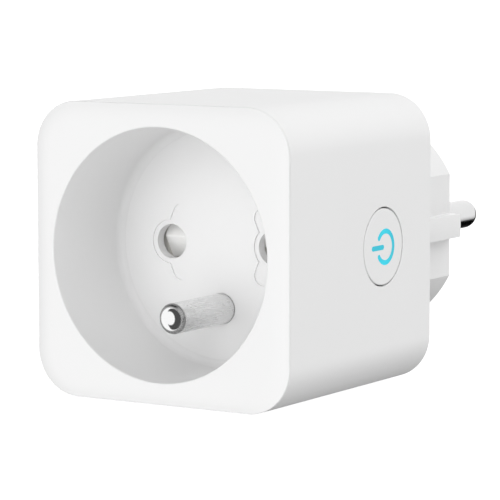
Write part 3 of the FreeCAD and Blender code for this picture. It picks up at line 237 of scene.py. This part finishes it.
def new_piece(name, points, faces, body, slot, finish, *stands_for):
    """A mesh of points in millimetres that rides on a body in place of CAD nodes."""
    mesh = bpy.data.meshes.new(name)
    mesh.from_pydata((points * MM).tolist(), [], faces.tolist())
    mesh.shade_smooth()
    mesh.set_sharp_from_angle(angle=math.radians(30))
    mesh.materials.append(finish)
    piece = bpy.data.objects.new(name, mesh)
    bpy.context.scene.collection.objects.link(piece)
    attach(piece, body)
    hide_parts(*stands_for)
    return piece


def rounded_square(half, corner, side_steps=24, corner_steps=20):
    """X and Z of a square's outline: sides at half from the middle, joined by quarter circles.

    A side is (half, t) with t along it; a corner is its centre plus corner times (cos a, sin a). The
    other three sides and corners are the first ones turned by 90, 180 and 270 degrees.
    """
    t = np.linspace(-1, 1, side_steps, endpoint=False) * (half - corner)
    a = np.linspace(0, math.pi / 2, corner_steps, endpoint=False)
    x = np.concatenate([np.full(side_steps, half), half - corner + corner * np.cos(a)])
    z = np.concatenate([t, half - corner + corner * np.sin(a)])
    return np.concatenate([np.stack(turned, 1) for turned in ((x, z), (-z, x), (-x, -z), (z, -x))])


def round_like(outline, radius):
    """A circle with one point in the direction of each point of an outline."""
    return outline * (radius / np.linalg.norm(outline, axis=1))[:, None]


def stacked(sections):
    """The points of outlines, each given as its Y and its X and Z."""
    return np.concatenate([np.stack([o[:, 0], np.full(len(o), y), o[:, 1]], 1) for y, o in sections])


def quarter(y, r, radius, start, end, steps=6):
    """Pairs of Y and distance on an arc about (y, r), from one angle to another in degrees."""
    return [(y + radius * math.sin(math.radians(a)), r + radius * math.cos(math.radians(a)))
            for a in np.linspace(start, end, steps)]


def moulded(name, tone, roughness, grain=0.25, mottle=0.015, painted_glow=0.0):
    """White plastic: faint flow clouds in the colour, fine sparkle in the gloss, soft sinks and grain.

    A part that stands in the dark behind thin white walls gets a constant painted glow, in place of the
    light that comes through them.
    """
    made, tree = new_material(name)
    place = tree.node("TexCoord", output=3)
    flow = tree.node("TexNoise", inputs={"Vector": place, "Scale": 55.0, "Detail": 3.0, "Distortion": 0.6})
    fine = tree.node("TexNoise", inputs={"Vector": place, "Scale": 3200.0, "Detail": 2.0})
    sink = tree.node("TexNoise", inputs={"Vector": place, "Scale": 90.0, "Detail": 1.0})
    dark = (*(c * (1 - mottle) for c in tone), 1.0)
    colour = flow.blend((*tone, 1.0), dark)
    rough = fine * 0.06 + flow * 0.04 + (roughness - 0.05)
    height = fine * 0.12 + sink
    bump = tree.node("Bump", inputs={"Strength": grain, "Distance": 0.00003, "Height": height})
    skin = tree.node("BsdfPrincipled", inputs={"Base Color": colour, "Roughness": rough, "Normal": bump,
                                               "Emission Color": (1.0, 1.0, 0.98, 1.0),
                                               "Emission Strength": painted_glow})
    tree.node("OutputMaterial", inputs={"Surface": skin})
    return made


def finish_nodes(made, *names):
    """Give CAD nodes that are shown as they are a material."""
    for name in names:
        nodes[name].data.materials.clear()
        nodes[name].data.materials.append(made)


face_plastic = moulded("face_plastic", (0.81, 0.81, 0.81), 0.40)
low, high = (np.array(corner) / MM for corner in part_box("front_cover"))
front, cover_back, half = low[1], high[1], high[0]
CORNER, SHELL_WALL, SLIP = 7.3, 2.0, 0.08
CROWN_WIDTH, CROWN_DROP = 3.15, 0.7
LIP_DEPTH, LIP_EDGE = 0.95, 0.06
FACE_DEPTH, SKIRT_DEPTH = 2.2, 5.0
SKIRT_HALF, SKIRT_CORNER, SKIRT_WALL = half - SHELL_WALL - SLIP, CORNER - SHELL_WALL, 1.2
RECESS, TUBE, TUBE_CLEARANCE = 19.5, 20.8, 0.03
RIM, CREASE, CREASE_START = 0.25, 0.2, -65
FOOT, FOOT_GAP = 1.3, 0.02

# The crown is an arc that is level at its inner end: y = R - sqrt(R^2 - u^2) at u from that end.
floor_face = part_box("socket_floor")[0][1] / MM - FOOT_GAP
crown_radius = (CROWN_WIDTH ** 2 + CROWN_DROP ** 2) / (2 * CROWN_DROP)
base = rounded_square(half, CORNER)
reach = np.linspace(0, CROWN_WIDTH - CREASE, 14)
sections = [(front + crown_radius - math.sqrt(crown_radius ** 2 - u * u),
             rounded_square(half - CROWN_WIDTH + u, CORNER - CROWN_WIDTH + u)) for u in reach]
edge_y = sections[-1][0]
sections += [(y, rounded_square(half + r, CORNER + r))
             for y, r in quarter(edge_y + CREASE, -CREASE, CREASE, CREASE_START, 0)]
sections += [(front + LIP_DEPTH - LIP_EDGE, base),
             (front + LIP_DEPTH, rounded_square(half - LIP_EDGE, CORNER - LIP_EDGE)),
             (front + LIP_DEPTH, rounded_square(SKIRT_HALF, SKIRT_CORNER)),
             (front + SKIRT_DEPTH, rounded_square(SKIRT_HALF, SKIRT_CORNER))]
inner_square = rounded_square(SKIRT_HALF - SKIRT_WALL, SKIRT_CORNER - SKIRT_WALL)
clear_of_tube = TUBE + TUBE_CLEARANCE
beyond_tube = np.linalg.norm(inner_square, axis=1) > clear_of_tube
inside = np.where(beyond_tube[:, None], inner_square, round_like(base, clear_of_tube))
sections += [(front + SKIRT_DEPTH, inside), (front + FACE_DEPTH, inside)]
sections += [(front + FACE_DEPTH, round_like(base, TUBE)), (cover_back, round_like(base, TUBE)),
             (cover_back, round_like(base, RECESS)), (floor_face, round_like(base, RECESS))]
sections += [(y, round_like(base, r))
             for y, r in quarter(floor_face - FOOT, RECESS - FOOT, FOOT, 90, 0, 8)]
sections += [(front + RIM, round_like(base, RECESS))]
sections += [(y, round_like(base, r)) for y, r in quarter(front + RIM, RECESS + RIM, RIM, 180, 270)][1:]
points = stacked(sections)
quads = outward(points, woven(len(sections), len(base), rows_close=True))
new_piece("front_cover_moulding", points, quads, "housing", "face_plastic", face_plastic, "front_cover")

# ---- socket floor ---------------------------------------------------------------------------------
# The disc at the bottom of the recess, pressed in from behind. It is moulded in the same white, with
# shallow pads about the pin holes and every edge broken by a small radius of the tool.


def softened(name, node, body, slot, finish, width, steps=3):
    """A CAD node's mesh with its triangles merged and its sharp edges rounded to a width in mm."""
    source = nodes[node].data
    points = np.empty(len(source.vertices) * 3)
    source.vertices.foreach_get("co", points)
    corners = np.empty(len(source.loops), dtype=int)
    source.loops.foreach_get("vertex_index", corners)
    piece = new_piece(name, points.reshape(-1, 3) / MM, corners.reshape(-1, 3), body, slot, finish, node)
    shape = bmesh.new()
    shape.from_mesh(piece.data)
    bmesh.ops.remove_doubles(shape, verts=shape.verts, dist=0.000002)
    bmesh.ops.dissolve_limit(shape, angle_limit=math.radians(0.6), verts=shape.verts, edges=shape.edges)
    shape.to_mesh(piece.data)
    shape.free()
    piece.data.shade_smooth()
    piece.data.set_sharp_from_angle(angle=math.radians(28))
    bevel = piece.modifiers.new("edge_radius", "BEVEL")
    bevel.width = width * MM
    bevel.segments = steps
    bevel.limit_method = "ANGLE"
    bevel.angle_limit = math.radians(40)
    bevel.harden_normals = True
    bevel.use_clamp_overlap = True
    return piece


floor_plastic = moulded("floor_plastic", (0.85, 0.85, 0.85), 0.42)
softened("socket_floor_moulding", "socket_floor", "housing", "floor_plastic", floor_plastic, 0.1)

# ---- shutter and spring ---------------------------------------------------------------------------
# The safety shutter behind the pin holes is moulded in a purer white, with a constant painted glow on it
# in place of the light that comes to it through the thin walls about it. Its spring of drawn steel wire
# is one fixed piece on the housing and does not shorten with the shutter.
shutter_plastic = moulded("shutter_plastic", (0.88, 0.88, 0.87), 0.35, painted_glow=0.16)
softened("shutter_moulding", "shutter", "shutter_body", "shutter_plastic", shutter_plastic, 0.12)


def drawn(name, tone, roughness, along=(1.0, 0.04, 1.0), streak=0.12, grain=0.15):
    """Bright metal with fine streaks along one axis: they vary the gloss and the relief a little."""
    made, tree = new_material(name)
    place = tree.node("TexCoord", output=3)
    stretched = tree.node("VectorMath", {"operation": "MULTIPLY"}, {0: place, 1: along})
    lines = tree.node("TexNoise", inputs={"Vector": stretched, "Scale": 5200.0, "Detail": 3.0})
    cloud = tree.node("TexNoise", inputs={"Vector": place, "Scale": 260.0, "Detail": 2.0})
    dull = (*(c * 0.9 for c in tone), 1.0)
    colour = cloud.blend((*tone, 1.0), dull)
    rough = lines * streak + cloud * (streak * 0.5) + (roughness - streak * 0.5)
    bump = tree.node("Bump", inputs={"Strength": grain, "Distance": 0.000004, "Height": lines})
    skin = tree.node("BsdfPrincipled", inputs={"Base Color": colour, "Roughness": rough,
                                               "Metallic": 1.0, "Normal": bump})
    tree.node("OutputMaterial", inputs={"Surface": skin})
    return made


spring_steel = drawn("spring_steel", (0.60, 0.60, 0.60), 0.22, along=(1.0, 1.0, 0.2))
low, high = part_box("shutter_spring")
spring = softened("shutter_spring_wire", "shutter_spring", "housing", "spring_steel", spring_steel,
                  0.02, steps=1)
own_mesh(spring)

# ---- socket earth pin -----------------------------------------------------------------------------
# Turned brass with bright nickel plate, held by its collar behind the floor. The shank keeps the fine
# lines of the lathe; the end is a polished, very slightly crowned disc painted brighter as a painted
# highlight, inside a small shoulder painted dark as a painted reflection.


def turned(name, profile, x, z, slot, finish, node, around=128):
    """A solid of revolution about an axis along Y, from pairs of Y and radius in mm.

    A point is (x + r cos a, y, z + r sin a). The profile starts and ends on the axis, where the
    points of its first and last rings are merged into one.
    """
    y, r = np.array(profile).T
    a = np.linspace(0, 2 * math.pi, around, endpoint=False)
    ring = np.stack([np.cos(a), np.zeros(around), np.sin(a)], 1)
    points = (r[:, None, None] * ring + np.array((x, 0, z))
              + y[:, None, None] * np.array((0, 1, 0))).reshape(-1, 3)
    quads = outward(points, woven(len(profile), around, rows_close=False))
    piece = new_piece(name, points, quads, "housing", slot, finish, node)
    shape = bmesh.new()
    shape.from_mesh(piece.data)
    bmesh.ops.remove_doubles(shape, verts=shape.verts, dist=0.000001)
    shape.to_mesh(piece.data)
    shape.free()
    return piece


low, high = (np.array(corner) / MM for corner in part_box("socket_earth_pin"))
earth_z = (low[2] + high[2]) / 2
tip_y, tail_y = low[1], high[1]
# Places along the pin: the front of the floor, and the front and back of the collar.
floor_y, collar_y, collar_end = -45.3, -43.3, -42.2
PIN, SHANK, COLLAR, TAIL, TAPER = 2.4, 2.2, 3.2, 1.5, 0.2
DISC, DISC_CROWN, SHOULDER_START = 1.64, 0.12, -68
disc_radius = (DISC ** 2 + DISC_CROWN ** 2) / (2 * DISC_CROWN)
SHOULDER = PIN - DISC
disc = [(tip_y + disc_radius - math.sqrt(disc_radius ** 2 - r * r), r) for r in np.linspace(0, DISC, 14)]
shoulder = quarter(tip_y + DISC_CROWN + SHOULDER, DISC, SHOULDER, SHOULDER_START, 0, 10)
profile = disc + shoulder + [(floor_y, PIN), (floor_y + TAPER, SHANK), (collar_y, SHANK),
                             (collar_y, COLLAR), (collar_end, COLLAR), (collar_end, TAIL),
                             (tail_y, TAIL), (tail_y, 0.0)]


def plated_pin(name, roughness, polished_to=None, painted_ring_depth=0.0):
    """Nickel plate with lathe lines. Up to a place along Y it is polished and painted brighter as a painted
    highlight, and a ring painted dark as a painted reflection follows it.
    """
    made, tree = new_material(name)
    place = tree.node("TexCoord", output=3)
    stretched = tree.node("VectorMath", {"operation": "MULTIPLY"}, {0: place, 1: (1.0, 0.03, 1.0)})
    lines = tree.node("TexNoise", inputs={"Vector": stretched, "Scale": 4200.0, "Detail": 3.0})
    cloud = tree.node("TexNoise", inputs={"Vector": place, "Scale": 320.0, "Detail": 2.0})
    colour = cloud.blend((0.80, 0.80, 0.80, 1.0), (0.74, 0.74, 0.745, 1.0))
    rough = lines * 0.03 + cloud * 0.015 + (roughness - 0.02)
    if polished_to is not None:
        y = tree.node("SeparateXYZ", inputs={0: place}, output=1)
        satin = y.step(polished_to, polished_to + 0.05 * MM)
        rough = rough * satin + (1.0 - satin) * 0.05
        # Painted reflection and highlight: a ring of the shoulder is painted dark, and the polished end is
        # painted brighter.
        ring = satin * y.step(polished_to + painted_ring_depth, polished_to + painted_ring_depth * 0.6)
        colour = satin.blend((0.93, 0.93, 0.93, 1.0), ring.blend(colour, (0.36, 0.36, 0.36, 1.0)))
    bump = tree.node("Bump", inputs={"Strength": 0.05, "Distance": 0.000002, "Height": lines})
    skin = tree.node("BsdfPrincipled", inputs={"Base Color": colour, "Roughness": rough,
                                               "Metallic": 1.0, "Normal": bump})
    tree.node("OutputMaterial", inputs={"Surface": skin})
    return made


earth_plate = plated_pin("earth_pin_plate", 0.27, (tip_y + DISC_CROWN) * MM, SHOULDER * MM)
turned("socket_earth_pin_turned", profile, 0.0, earth_z, "pin_metal", earth_plate, "socket_earth_pin")

# ---- contact carrier, contacts and screws ---------------------------------------------------------
# The natural white moulding behind the floor holds two forked contacts of phosphor bronze, each with
# a steel clip round it, and four plated screws fix it to the floor's posts.
inner_plastic = moulded("inner_plastic", (0.80, 0.79, 0.75), 0.5)
contact_metal = drawn("contact_metal", (0.80, 0.60, 0.34), 0.3)
screw_steel = drawn("screw_steel", (0.62, 0.62, 0.60), 0.3, along=(1.0, 1.0, 1.0))
softened("contact_carrier_moulding", "contact_carrier", "housing", "inner_plastic", inner_plastic, 0.12)
for side in ("line", "neutral"):
    softened(f"{side}_contact_strip", f"{side}_contact", "housing", "contact_metal", contact_metal, 0.08)
softened("contact_clip_strips", "contact_clips", "housing", "spring_steel", spring_steel, 0.05)
finish_nodes(screw_steel, "carrier_screws")

# ---- body shell -----------------------------------------------------------------------------------
# The square tube of the body, moulded in white with a finer satin than the face. Its front and back
# edges meet the covers in a tight line, and the edge of the button's hole is left almost sharp.
shell_plastic = moulded("shell_plastic", (0.81, 0.81, 0.81), 0.42)
softened("body_shell_moulding", "body_shell", "housing", "shell_plastic", shell_plastic, 0.07)

# ---- main board -----------------------------------------------------------------------------------
# Green glass-fibre board under a clear-green solder mask: copper tracks show through it as lighter
# bands, and the pads are bare tin.


def printed_board(name, mask, track, pitch):
    """Solder mask over copper: bands of track in patches of the board, and round tinned pads."""
    made, tree = new_material(name)
    place = tree.node("TexCoord", output=3)
    scale = 1.0 / pitch
    bands = tree.node("TexWave", {"bands_direction": "DIAGONAL"},
                      {"Vector": place, "Scale": scale * 0.16, "Distortion": 3.0, "Detail": 1.0,
                       "Detail Scale": 0.6})
    patch = tree.node("TexNoise", inputs={"Vector": place, "Scale": scale * 0.25})
    copper = bands.step(0.55, 0.62) * patch.step(0.46, 0.5)
    cells = tree.node("TexVoronoi", inputs={"Vector": place, "Scale": scale, "Randomness": 0.35})
    some = tree.node("TexNoise", inputs={"Vector": place, "Scale": scale * 0.4, "Detail": 0.0})
    pad = cells.step(0.2, 0.16) * some.step(0.52, 0.54)
    weave = tree.node("TexChecker", inputs={"Vector": place, "Scale": scale * 3.0}, output=1)
    base = copper.blend((*mask, 1.0), (*track, 1.0))
    colour = pad.blend(base, (0.72, 0.72, 0.70, 1.0))
    height = copper * 0.6 + pad + weave * 0.08
    bump = tree.node("Bump", inputs={"Strength": 0.4, "Distance": 0.00003, "Height": height})
    skin = tree.node("BsdfPrincipled", inputs={"Base Color": colour, "Roughness": pad * -0.05 + 0.35,
                                               "Metallic": pad, "Normal": bump})
    tree.node("OutputMaterial", inputs={"Surface": skin})
    return made


power_board = printed_board("power_board", (0.015, 0.10, 0.035), (0.05, 0.24, 0.07), 0.0022)
softened("main_board_laminate", "main_board", "housing", "power_board", power_board, 0.05)

# ---- parts on the main board ----------------------------------------------------------------------
# Two electrolytic capacitors in printed sleeves, the choke in black shrink sleeve, a blue dipped
# varistor, a ceramic fuse with plated caps, three black chips with tinned legs and the bent shunt.


def coated(name, tone, roughness, tin=None, peel=0.3, size=900.0):
    """A dipped, sleeved or moulded coat, with bare tin where a mask worked out from the place says so."""
    made, tree = new_material(name)
    place = tree.node("TexCoord", output=3)
    peeled = tree.node("TexNoise", inputs={"Vector": place, "Scale": size, "Detail": 2.0})
    dust = tree.node("TexNoise", inputs={"Vector": place, "Scale": 140.0, "Detail": 2.0})
    coat = dust.blend((*tone, 1.0), (*(c * 0.8 + 0.01 for c in tone), 1.0))
    rough = peeled * 0.12 + (roughness - 0.06)
    bump = tree.node("Bump", inputs={"Strength": peel, "Distance": 0.00003, "Height": peeled})
    inputs = {"Base Color": coat, "Roughness": rough, "Normal": bump}
    if tin is not None:
        bare = tin(tree, place)
        inputs["Base Color"] = bare.blend(coat, (0.70, 0.69, 0.66, 1.0))
        inputs["Metallic"] = bare
        inputs["Roughness"] = rough * (1.0 - bare) + bare * 0.28
    tree.node("OutputMaterial", inputs={"Surface": tree.node("BsdfPrincipled", inputs=inputs)})
    return made


def beyond(axis, centre, distance):
    """A mask that is 1 farther than a distance from a place along an axis, both in mm."""
    def mask(tree, place):
        along = tree.node("SeparateXYZ", inputs={0: place}, output="XYZ".index(axis))
        away = (along - centre * MM).math("ABSOLUTE")
        return away.step(distance * MM, (distance + 0.05) * MM, smooth=False)
    return mask


def middle(node, axis):
    """The middle of a node's box along an axis, in mm."""
    low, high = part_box(node)
    at = "XYZ".index(axis)
    return (low[at] + high[at]) / 2 / MM


def size_of(node, axis):
    """The size of a node's box along an axis, in mm."""
    low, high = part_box(node)
    at = "XYZ".index(axis)
    return (high[at] - low[at]) / MM


CAN_RIM = 0.4
can_top = middle("smoothing_capacitors", "Y") + size_of("smoothing_capacitors", "Y") / 2
CAN_HEIGHT = size_of("smoothing_capacitors", "Y")
sleeve = coated("capacitor_sleeve", (0.02, 0.03, 0.07), 0.3, beyond("Y", can_top, CAN_HEIGHT - CAN_RIM))
softened("capacitor_cans", "smoothing_capacitors", "housing", "capacitor_sleeve", sleeve, 0.25)
choke_sleeve = coated("choke_sleeve", (0.02, 0.02, 0.02), 0.35)
softened("inductor_sleeved", "inductor", "housing", "choke_sleeve", choke_sleeve, 0.2)
DISC_RADIUS = 3.92
board_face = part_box("main_board")[0][1] / MM
varistor_coat = coated("varistor_coat", (0.02, 0.09, 0.36), 0.3,
                       beyond("Y", board_face - 5.0, DISC_RADIUS), peel=0.5, size=500.0)
softened("varistor_dipped", "varistor", "housing", "varistor_coat", varistor_coat, 0.5)
CAP_LENGTH = 1.8
fuse_ceramic = coated("fuse_ceramic", (0.78, 0.76, 0.70), 0.45,
                      beyond("X", middle("fuse", "X"), size_of("fuse", "X") / 2 - CAP_LENGTH))
softened("fuse_tube", "fuse", "housing", "fuse_ceramic", fuse_ceramic, 0.15)
LEG_REACH = 0.9
for chip in ("bridge_rectifier", "buck_regulator", "metering_chip"):
    resin = coated(f"{chip}_resin", (0.012, 0.012, 0.013), 0.55,
                   beyond("X", middle(chip, "X"), size_of(chip, "X") / 2 - LEG_REACH), size=2400.0)
    softened(f"{chip}_package", chip, "housing", "chip_resin", resin, 0.05, steps=2)
shunt_metal = drawn("shunt_metal", (0.58, 0.47, 0.36), 0.35, along=(1.0, 1.0, 0.05))
softened("current_shunt_strip", "current_shunt", "housing", "shunt_metal", shunt_metal, 0.12)

# ---- relay ----------------------------------------------------------------------------------------
# The load relay stands on the board inside the plug boss: a blue case and base, a white bobbin wound
# with enamelled copper, zinc-plated iron, and an armature that carries the moving contact.
relay_shell = moulded("relay_shell", (0.03, 0.08, 0.30), 0.4, grain=0.5, mottle=0.08)
for part, width in (("relay_case", 0.3), ("relay_base", 0.15)):
    softened(f"{part}_moulding", part, "housing", "relay_shell", relay_shell, width)
softened("relay_bobbin_moulding", "relay_bobbin", "housing", "inner_plastic", inner_plastic, 0.1)
relay_iron = drawn("relay_iron", (0.62, 0.61, 0.56), 0.38, along=(1.0, 1.0, 1.0), grain=0.3)
for part in ("relay_core", "relay_yoke"):
    softened(f"{part}_stamping", part, "housing", "relay_iron", relay_iron, 0.12)
softened("relay_armature_stamping", "relay_armature", "armature", "relay_iron", relay_iron, 0.08)
softened("relay_contact_spring", "relay_contact_arm", "armature", "contact_metal", contact_metal, 0.05)
softened("relay_fixed_terminal", "relay_fixed_contact", "housing", "contact_metal", contact_metal, 0.05)

WIRE_PITCH = 0.00028
winding, tree = new_material("coil_wire")
place = tree.node("TexCoord", output=3)
y = tree.node("SeparateXYZ", inputs={0: place}, output=1)
# Painted shade: the wire's colour goes dark in the grooves between the turns and copper-bright on their
# crowns.
turns = (y * (2 * math.pi / WIRE_PITCH)).math("SINE") * 0.5 + 0.5
colour = turns.blend((0.20, 0.06, 0.02, 1.0), (0.68, 0.30, 0.14, 1.0))
bump = tree.node("Bump", inputs={"Strength": 0.9, "Distance": 0.00008, "Height": turns})
skin = tree.node("BsdfPrincipled", inputs={"Base Color": colour, "Roughness": turns * -0.1 + 0.35,
                                           "Metallic": 1.0, "Normal": bump})
tree.node("OutputMaterial", inputs={"Surface": skin})
finish_nodes(winding, "relay_coil")

# ---- control board, radio and push switch ---------------------------------------------------------
# An upright green board beside the button. It carries the radio module under its tinned can, two
# lamps behind the button's mark, the row of gold-plated link pins, and the black push switch.
control_resin = printed_board("control_board_resin", (0.012, 0.08, 0.03), (0.04, 0.20, 0.06), 0.0014)
for part in ("control_board", "wifi_module"):
    softened(f"{part}_laminate", part, "housing", "control_board_resin", control_resin, 0.04, steps=2)
shield_metal = drawn("shield_metal", (0.68, 0.68, 0.66), 0.3, along=(1.0, 1.0, 0.05))
softened("wifi_shield_can", "wifi_shield", "housing", "shield_metal", shield_metal, 0.2)
link_metal = drawn("link_metal", (0.86, 0.66, 0.30), 0.25, along=(0.05, 1.0, 1.0))
softened("board_link_gold_pins", "board_link_pins", "housing", "link_metal", link_metal, 0.06, steps=2)
switch_resin = coated("switch_resin", (0.02, 0.02, 0.02), 0.5)
softened("switch_case_moulding", "switch_case", "housing", "switch_resin", switch_resin, 0.15)
finish_nodes(spring_steel, "switch_dome")
plunger_resin = moulded("plunger_resin", (0.75, 0.75, 0.72), 0.4)
softened("switch_plunger_moulding", "switch_plunger", "button", "plunger_resin", plunger_resin, 0.12)

lamp, tree = new_material("lamp_resin")
place = tree.node("TexCoord", output=3)
cloud = tree.node("TexNoise", inputs={"Vector": place, "Scale": 1500.0})
colour = cloud.blend((0.55, 0.95, 1.0, 1.0), (0.25, 0.85, 1.0, 1.0))
skin = tree.node("BsdfPrincipled", inputs={"Base Color": colour, "Roughness": cloud * 0.1 + 0.1,
                                           "Emission Color": colour, "Emission Strength": 1.0})
tree.node("OutputMaterial", inputs={"Surface": skin})
finish_nodes(lamp, "status_leds")

# ---- button ---------------------------------------------------------------------------------------
# A round white cap that stands flush with the side, with the power mark moulded through it in clear
# plastic. The lamps behind it light the mark cyan, a little stronger where they stand.
button_plastic = moulded("button_plastic", (0.81, 0.81, 0.81), 0.42)
finish_nodes(button_plastic, "button_cap")

SIDE_X, LAMP_Z = 0.023, 0.0036
lamp_y = middle("status_leds", "Y") * MM
mark, tree = new_material("lit_mark")
place = tree.node("TexCoord", output=3)
glows = []
for height in (-LAMP_Z, LAMP_Z):
    lamp_place = (SIDE_X, lamp_y, height)
    away = tree.node("VectorMath", {"operation": "DISTANCE"}, {0: place, 1: lamp_place}, output=1)
    glows.append(away.step(0.0042, 0.0004))
cloud = tree.node("TexNoise", inputs={"Vector": place, "Scale": 700.0, "Detail": 2.0})
brightness = glows[0] + glows[1] + cloud * 0.25
colour = brightness.blend((0.001, 0.38, 0.50, 1.0), (0.002, 0.52, 0.66, 1.0))
skin = tree.node("BsdfPrincipled", inputs={"Base Color": (0.0, 0.10, 0.12, 1.0),
                                           "Roughness": cloud * 0.1 + 0.35,
                                           "Emission Color": colour, "Emission Strength": 1.0})
tree.node("OutputMaterial", inputs={"Surface": skin})
finish_nodes(mark, "symbol_lens")

# ---- rear cover -----------------------------------------------------------------------------------
# The back wall and the hollow plug boss are one white moulding, welded inside the body's back edge.
# The boss has a flat on each side with a rib along it, a notch above and below, and an earth hole.
softened("rear_cover_moulding", "rear_cover", "housing", "shell_plastic", shell_plastic, 0.1)

# ---- plug pins ------------------------------------------------------------------------------------
# Two turned brass pins with bright nickel plate and round tips, riveted to strips of brass inside.
pin_plate = plated_pin("plug_pin_plate", 0.14)
TIP_ROUND = 2.38
collar_y, collar_end = -2.5, -3.7
for node in ("plug_pin_line", "plug_pin_neutral"):
    low, high = (np.array(corner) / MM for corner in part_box(node))
    dome = quarter(high[1] - TIP_ROUND, PIN - TIP_ROUND, TIP_ROUND, 0, 90, 16)
    profile = [(low[1], 0.0), (low[1], TAIL), (collar_end, TAIL), (collar_end, COLLAR), (collar_y, COLLAR),
               (collar_y, SHANK), (-TAPER, SHANK), (0.0, PIN)] + dome + [(high[1], 0.0)]
    turned(f"{node}_turned", profile, (low[0] + high[0]) / 2, 0.0, "pin_metal", pin_plate, node)
for side in ("line", "neutral"):
    softened(f"{side}_busbar_strip", f"{side}_busbar", "housing", "contact_metal", contact_metal, 0.1)

# ---- earth parts ----------------------------------------------------------------------------------
# Tinned brass strip: two side contacts in the boss's notches, the half ring that joins them, the
# sprung tube behind the earth hole, and the strap to the earth pin in front.
earth_metal = drawn("earth_metal", (0.76, 0.72, 0.62), 0.28, along=(1.0, 0.05, 1.0))
for part in ("earth_clip_top", "earth_clip_bottom", "earth_ring", "earth_hole_contact", "earth_strap"):
    softened(f"{part}_strip", part, "housing", "earth_metal", earth_metal, 0.12)
